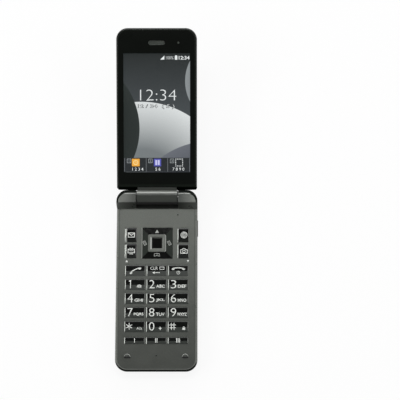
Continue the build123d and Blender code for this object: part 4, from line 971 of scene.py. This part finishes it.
def seam():
    """The dark line round the keypad panel."""
    side, corner, cut = PANEL_HALF_WIDTH, PANEL_CORNER, PANEL_CUT
    near, far = PANEL_ENDS
    points = [(side - cut, far), (cut - side, far), (-side, far - cut)]
    for x, start in ((corner - side, 180), (side - corner, 270)):
        points += bend(x, near + corner, corner, start, start + 90, 8)
    points.append((side, far - cut))
    return Drawing().stroke(points, 0.3, closed=True)


printed("panel_seam", seam(), "case_paint", rubber("seam_black", srgb(48, 51, 48)), rise=0.008)

# ---------------- small solid parts


def bands(start, count, rows, closed=False):
    """Faces between rings of count points, numbered from start. Closed joins the last ring to the first."""
    faces = []
    for row in range(rows if closed else rows - 1):
        here, after = start + row * count, start + (row + 1) % rows * count
        for i in range(count):
            j = (i + 1) % count
            faces.append([here + i, here + j, after + j, after + i])
    return faces


def circles(profile, x, y, steps):
    """Rings of points about x, y, from (radius, height) pairs."""
    return [(a, b, height) for r, height in profile for a, b in bend(x, y, r, 0, 360, steps)[:-1]]


class Solid(Shapes):
    """Closed shapes, to be made into one piece."""

    def turned(self, profile, x, y, steps=24):
        """A round shape from its (radius, height) steps."""
        last = (len(profile) - 1) * steps
        faces = [range(steps), range(last, last + steps)] + bands(0, steps, len(profile))
        return self.add(circles(profile, x, y, steps), faces)

    def block(self, x, y, foot, width, length, height):
        """A box, given by the middle of its foot and its size."""
        points = [(a, b, foot + z) for z in (0, height) for a, b in corners(x, y, width, length)]
        return self.add(points, [range(4), range(4, 8)] + bands(0, 4, 2))

    def screw(self, x, y, top, length, up):
        """A pan-head screw with a cross recess; up is -1 where its head faces down."""
        arm, half, depth, steps = 0.85, 0.16, 0.35, 24
        quarter = ((arm, -half), (arm, half), (half, half))
        turns = ((1, 0), (0, 1), (-1, 0), (0, -1))
        cross = [(c * a - s * b, s * a + c * b) for c, s in turns for a, b in quarter]
        rings = ((SCREW_HEAD - 0.15, 0), (SCREW_HEAD, 0.1), (SCREW_HEAD, 0.5), (SCREW_RADIUS, 0.5),
                 (SCREW_RADIUS, length - 0.3), (SCREW_RADIUS - 0.3, length))
        spots = circles(rings, 0, 0, steps)
        inner = len(spots)
        spots += [(a, b, 0) for a, b in cross] + [(a * 0.75, b * 0.75, depth) for a, b in cross]
        rim, hole = [Vector(spot) for spot in spots[:steps]], [Vector((a, b, 0)) for a, b in cross]
        head = tessellate_polygon([rim, hole])
        faces = [[i if i < steps else inner + i - steps for i in face] for face in head]
        for start, count, rows in ((0, steps, len(rings)), (inner, len(cross), 2)):
            last = start + (rows - 1) * count
            faces += bands(start, count, rows) + [range(last, last + count)]
        return self.add([(x + a, y + b * up, top - drop * up) for a, b, drop in spots], faces)


def rounded_square(size, radius, height):
    """Points round a square with rounded corners, centred on the navigation key."""
    inner = size / 2 - radius
    points = []
    for x, y, start in ((1, 1, 0), (-1, 1, 90), (-1, -1, 180), (1, -1, 270)):
        points += bend(x * inner, NAV_Y + y * inner, radius, start, start + 90, 6)
    return [(*point, height) for point in points]


# The silver trim round the centre key: the size, corner radius and height of its loops, with a sloping edge
# outside and a wider one inside
TRIM = ((11.4, 1.1, 9.21), (11.4, 1.1, 9.42), (10.9, 0.9, 9.6),
        (8.3, 0.6, 9.6), (6.8, 0.25, 9.34), (6.8, 0.25, 9.21))
spots = [spot for loop in TRIM for spot in rounded_square(*loop)]
trim_ring = Solid().add(spots, bands(0, len(spots) // len(TRIM), len(TRIM), closed=True))
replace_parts(trim_ring.made("trim_ring", SLOTS["bright_trim"], "bright_trim", "nav_pad"), "nav_trim")

STEEL = SLOTS["screw_steel"]
rear_screws, lid_screws = Solid(), Solid()
for side in (-1, 1):
    for x, y in REAR_SCREWS:
        rear_screws.screw(side * x, y, REAR_SCREW_HEAD, 4.7, -1)
    for along in LID_SCREWS:
        lid_screws.screw(side * LID_SCREW_X, along, LID_SCREW_HEAD, 3.6, 1)
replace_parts(rear_screws.made("rear_screws", STEEL, "screw_steel", smooth=True), "case_screws")
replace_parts(lid_screws.made("window_screws", STEEL, "screw_steel", "lid", LID, True), "lid_screws")

# The camera: a square body, and a barrel with a stepped recess and a coated lens in it
BARREL = ((2.6, 2.1), (2.6, 0.96), (2.3, 0.96), (2.1, 1.15), (1.8, 1.2), (1.7, 1.55), (1.3, 1.6), (1.25, 1.9))
LENS = ((1.24, 1.95), (1.24, 1.75), (1.0, 1.58), (0.6, 1.46), (0.2, 1.42))
camera_unit = Solid().block(*CAMERA_SPOT, 2.0, 8.6, 8.6, 3.6).turned(BARREL, *CAMERA_SPOT, 36)
camera_unit = camera_unit.made("camera_unit", SLOTS["camera_black"], "camera_black", smooth=True)
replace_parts(camera_unit, "camera_module")
coated = gloss_plastic("coated_glass", srgb(70, 58, 124), 0.06, Metallic=0.85)
Solid().turned(LENS, *CAMERA_SPOT).made("camera_lens", coated, "camera_glass", smooth=True)

indicator = Solid().turned(((0.44, 8.3), (0.44, 9.0), (0.38, 9.1), (0.25, 9.16), (0.1, 9.18)), *INDICATOR)
indicator.made("indicator_lens", gloss_plastic("indicator", srgb(7, 9, 7), 0.15), "sensor_lens", smooth=True)
felt = Solid().turned(((0.49, 8.25), (0.49, 8.75), (0.3, 8.8), (0.1, 8.81)), 0.0, MICROPHONE_Y)
felt.made("microphone_felt", rubber("felt", srgb(26, 28, 26)), "silicone", smooth=True)
Solid().block(*SPEAKER_SPOT, 1.22, 13.4, 9.0, 0.09).made("speaker_cloth", SLOTS["mesh"], "speaker_steel")

GOLD = steel("gold", (0.72, 0.5, 0.18, 1), 0.28)
springs, pads, pins = Solid(), Solid(), Solid()
for x in BATTERY_POLES:
    springs.block(x, 11.5, 2.6, 1.3, 2.4, 0.11)
    pads.block(x, 8.5, 1.13, 1.7, 2.2, 0.03)
for step in range(-2, 3):
    x, y, foot = SOCKET_PINS
    pins.block(x, y + step * PIN_PITCH, foot, 3.2, 0.32, 0.05)
springs.made("contact_springs", GOLD, "socket_steel")
pads.made("battery_pads", GOLD, "battery_wrap")
pins.made("socket_pins", GOLD, "socket_steel")

# Parts on the board beyond the keys, with a lamp under the indicator
chips, ends = Solid(), Solid()
for x, y, width, length in BOARD_CHIPS:
    chips.block(x, y, BOARD_TOP, width, length, 0.7)
for step in range(6):
    x, y = CHIP_ROW[0] + step * CHIP_PITCH, CHIP_ROW[1]
    chips.block(x, y, BOARD_TOP, 0.8, 0.6, 0.5)
    for side in (-1, 1):
        ends.block(x + side * 0.5, y, BOARD_TOP, 0.3, 0.7, 0.52)
chips.made("board_chips", gloss_plastic("chip_black", srgb(34, 36, 38), 0.4), "circuit_board")
ends.made("chip_ends", SLOTS["shield_steel"], "circuit_board")
lamp = Solid().block(*INDICATOR, BOARD_TOP, 1.6, 0.9, 0.6)
lamp.made("indicator_lamp", gloss_plastic("lamp", srgb(226, 222, 196), 0.3), "circuit_board")

# What the battery says, read from below
UNDER_BATTERY = Matrix.Translation((0, BATTERY_Y, BATTERY_FOOT)) @ UPSIDE_DOWN
words = Drawing().text("3.7 V", 0, 2.0, 4.2).text("1234", 0, -3.6, 2.6, spacing=1.2)
words.text("+", BATTERY_POLES[0], -21.2, 1.6, width=1.6).text("-", BATTERY_POLES[-1], -21.2, 0.35, width=1.6)
printed("battery_print", words, "battery_wrap", LEGEND_SILVER, lambda x, y: 0.0, seat=UNDER_BATTERY)

# ---------------- lit pictures on the screens

LAYER = 0.012
BAR_Y = 20.925
BAR_HEIGHT = 8.95
TILE_Y = 22.4
TILES = (-13.5, 0.35, 14.15)
COLOURS = (
    ("white", 238, 242, 242),
    ("panel", 30, 35, 38),
    ("line", 112, 116, 120),
    ("orange", 246, 176, 62),
    ("cream", 255, 226, 160),
    ("violet", 84, 86, 176),
    ("pale", 206, 206, 246),
    ("grey", 168, 174, 176),
)
LIT = {name: glow(f"screen_{name}", *levels) for name, *levels in COLOURS}


def lit(name, drawing, colour, layer):
    """A lit drawing on the display, on one of a few thin layers."""
    low = DISPLAY_TOP + LAYER * layer
    film(drawing, lambda x, y: low, (), 0.01, 0.0).made(f"screen_{name}", LIT[colour], "screen", "lid", LID)


status = Drawing().polygon((2.3, 87.6), (4.9, 87.6), (4.9, 90.2))
status.box(12.3, 88.75, 1.6, 2.5).box(12.3, 90.15, 0.8, 0.35)
status.text("100%", 8.3, 88.7, 1.9, 0.01, width=4.7)
status.text("12:34", 17.4, 88.75, 2.3, -0.025, width=6.9)
lit("status", status, "white", 1)
lit("clock", Drawing().text("12:34", 0.9, 65.2, 7.0, 0.02, width=23.0), "white", 1)
# The date is white over a wider dark copy of itself
for layer, thin, colour in ((1, -0.045, "panel"), (2, 0.012, "white")):
    date = Drawing().text("12 / 34  ( 5 )", -0.6, 57.9, 3.0 - thin * 3, thin, width=23.5 - thin * 3)
    lit(f"date_{layer}", date, colour, layer)

lit("bar", Drawing().box(0, BAR_Y, 2 * SCREEN_HALF_WIDTH - 0.2, BAR_HEIGHT), "panel", 1)
bar_lines = Drawing()
for x in (-20.6, -6.85, 6.85, 20.8):
    bar_lines.box(x, BAR_Y, 0.32, BAR_HEIGHT - 0.4)
lit("bar_lines", bar_lines, "line", 2)
dial_x, book_x, empty_x = TILES
lit("app_clock", Drawing().box(dial_x, TILE_Y, 4.9, 4.8), "orange", 2)
hands = [(dial_x, TILE_Y + 0.9), (dial_x, TILE_Y - 0.1), (dial_x + 0.6, TILE_Y - 0.5)]
lit("app_clock_face", Drawing().arc(dial_x, TILE_Y, 1.35, 0.45).stroke(hands, 0.3), "cream", 3)
lit("app_book", Drawing().box(book_x, TILE_Y, 4.6, 4.8), "violet", 2)
pages = Drawing().box(book_x - 0.8, TILE_Y, 1.2, 3.2).box(book_x + 0.8, TILE_Y, 1.2, 3.2)
lit("app_book_pages", pages, "pale", 3)
dashes = Drawing()
for side in (-1, 1):
    for step in range(-2, 3):
        dashes.box(empty_x + step * 1.05, TILE_Y + side * 2.2, 0.6, 0.5)
    for step in range(-1, 2):
        dashes.box(empty_x + side * 2.2, TILE_Y + step * 1.05, 0.5, 0.6)
lit("app_empty", dashes, "white", 2)
tags, labels = Drawing(), Drawing()
for x, figure in ((-17.8, "1"), (-4.15, "2"), (9.6, "3")):
    tags.outline(x, 23.45, 2.3, 2.5, 0.25).text(figure, x, 23.45, 1.5)
for x, words in ((-12.2, "1 2 3 4"), (0.6, "5 6"), (13.7, "7 8 9 0")):
    labels.text(words, x, 18.2, 1.9, -0.004)
lit("tags", tags, "grey", 2)
lit("labels", labels, "white", 2)

CROWN_RADIUS = (LID_HALF_WIDTH**2 + LID_CROWN**2) / (2 * LID_CROWN)
# The outer face's drawings are read from outside: across is the same, up the lid runs towards the hinge
OUTER = LID @ Matrix.Translation((0, CLOCK_ALONG, LID_OUTER)) @ UPSIDE_DOWN
time_shown = Drawing().text("12:34", 0, 0, 5.3, 0.008, width=18.8)
crown_cuts = [((x, 0, 0), (1, 0, 0)) for x in (-6, -3, 0, 3, 6)]
printed("outer_clock", time_shown, "clock_screen", glow("outer_digits", 200, 206, 200),
        lambda x, y: -(x * x) / (2 * CROWN_RADIUS), crown_cuts, "lid", OUTER)


# ---------------- camera, light and floor

CAMERA_LEAN = math.radians(10.75)
CAMERA_PLACE = Vector((27.45, -1.67, 706.0))
FOCAL_LENGTH = 99.2
# The room's brightness by height, from level with the phone (0) to overhead (1), and its share, near and far
ROOM = ((0.0, 0.8), (0.35, 0.85), (0.72, 0.6), (0.86, 0.14), (1.0, 0.1))
ROOM_SLANT = (0.35, 1.25)
# Soft lamps, in metres: the place, the width and length, and the brightness
SOFTBOXES = (
    ("left", (-0.9, -0.05, 0.74), 0.9, 0.42, 3.2),
    ("right", (0.9, 0.05, 0.7), 0.9, 0.36, 2.0),
    ("far", (0.0, 1.05, 0.55), 1.2, 0.3, 1.8),
    ("high", (-0.05, 0.58, 1.3), 1.0, 0.26, 7.5),
    ("top", (0.0, -0.03, 1.45), 1.0, 0.12, 0.5),
)
LAMP_AIM = Vector((0, 0.03, 0.01))
FLOOR_SIZE = 6.0
FLOOR_LEVEL = -0.0002
FLOOR_GLOW = 0.88


def photographer():
    """A camera over the hinge, leaning towards the keypad, with the hinge left of the picture's middle."""
    data = bpy.data.cameras.new("camera")
    data.lens = FOCAL_LENGTH
    data.sensor_width = 36
    data.clip_start = 0.01
    camera = add_object("camera", data)
    lean = Matrix.Rotation(CAMERA_LEAN, 4, "X")
    place = Vector((0, HINGE_Y, HINGE_HEIGHT)) + lean @ CAMERA_PLACE
    camera.matrix_world = Matrix.Translation(place * MM) @ lean
    bpy.context.scene.camera = camera


def room():
    """A pale room, dark overhead so that black gloss stays black, and plain white to the camera."""
    world = bpy.data.worlds.new("studio")
    bpy.context.scene.world = world
    world.use_nodes = True
    nodes = Nodes(world.node_tree)
    _, far, height = nodes.node("SeparateXYZ", {0: nodes.add("TexCoord", output="Generated")}).outputs
    ramp = nodes.node("ValToRGB", {0: height})
    stops = ramp.color_ramp.elements
    for place, _ in ROOM[1:-1]:
        stops.new(place)
    for stop, (_, level) in zip(stops, ROOM):
        stop.color = (level, level, level, 1)
    inputs = {0: ramp.outputs["Color"], "Scale": nodes.spread(far, -1.0, 1.0, *ROOM_SLANT)}
    light = nodes.add("VectorMath", inputs, operation="SCALE")
    seen = nodes.rays("Camera", "Transmission")
    nodes.join(world.node_tree.nodes["Background"].inputs["Color"], nodes.mix(seen, light, (1, 1, 1, 1)))


def softbox(name, place, width, length, radiance):
    """A soft lamp turned to the phone."""
    data = bpy.data.lights.new(f"softbox_{name}", "AREA")
    data.shape = "RECTANGLE"
    data.size = width
    data.size_y = length
    data.energy = radiance * math.pi * width * length
    lamp = add_object(f"softbox_{name}", data)
    lamp.location = place
    lamp.rotation_euler = (Vector(place) - LAMP_AIM).to_track_quat("Z", "Y").to_euler()


def floor():
    """A white floor just under the phone, that keeps its shadow and is clear from below."""
    mesh = bpy.data.meshes.new("floor")
    spots = [(x, y, FLOOR_LEVEL) for x, y in corners(0, 0, FLOOR_SIZE, FLOOR_SIZE)]
    mesh.from_pydata(spots, [], [(0, 1, 2, 3)])
    ground = add_object("floor", mesh)
    ground.visible_diffuse = False
    matt = Paint("floor_white", 1.0, Base_Color=(0.95, 0.95, 0.95, 1), Specular_IOR_Level=0.0)
    white = matt.add("Emission", {"Strength": 1.0})
    share = matt.math("MULTIPLY", matt.rays("Camera", "Glossy", "Transmission"), FLOOR_GLOW)
    below = matt.add("NewGeometry", output="Backfacing")
    above = matt.blend(share, matt.shader.outputs[0], white)
    matt.show(matt.blend(below, above, matt.add("BsdfTransparent")))
    mesh.materials.append(matt.material)


photographer()
room()
for box in SOFTBOXES:
    softbox(*box)
floor()
bpy.context.scene.view_settings.view_transform = "Standard"
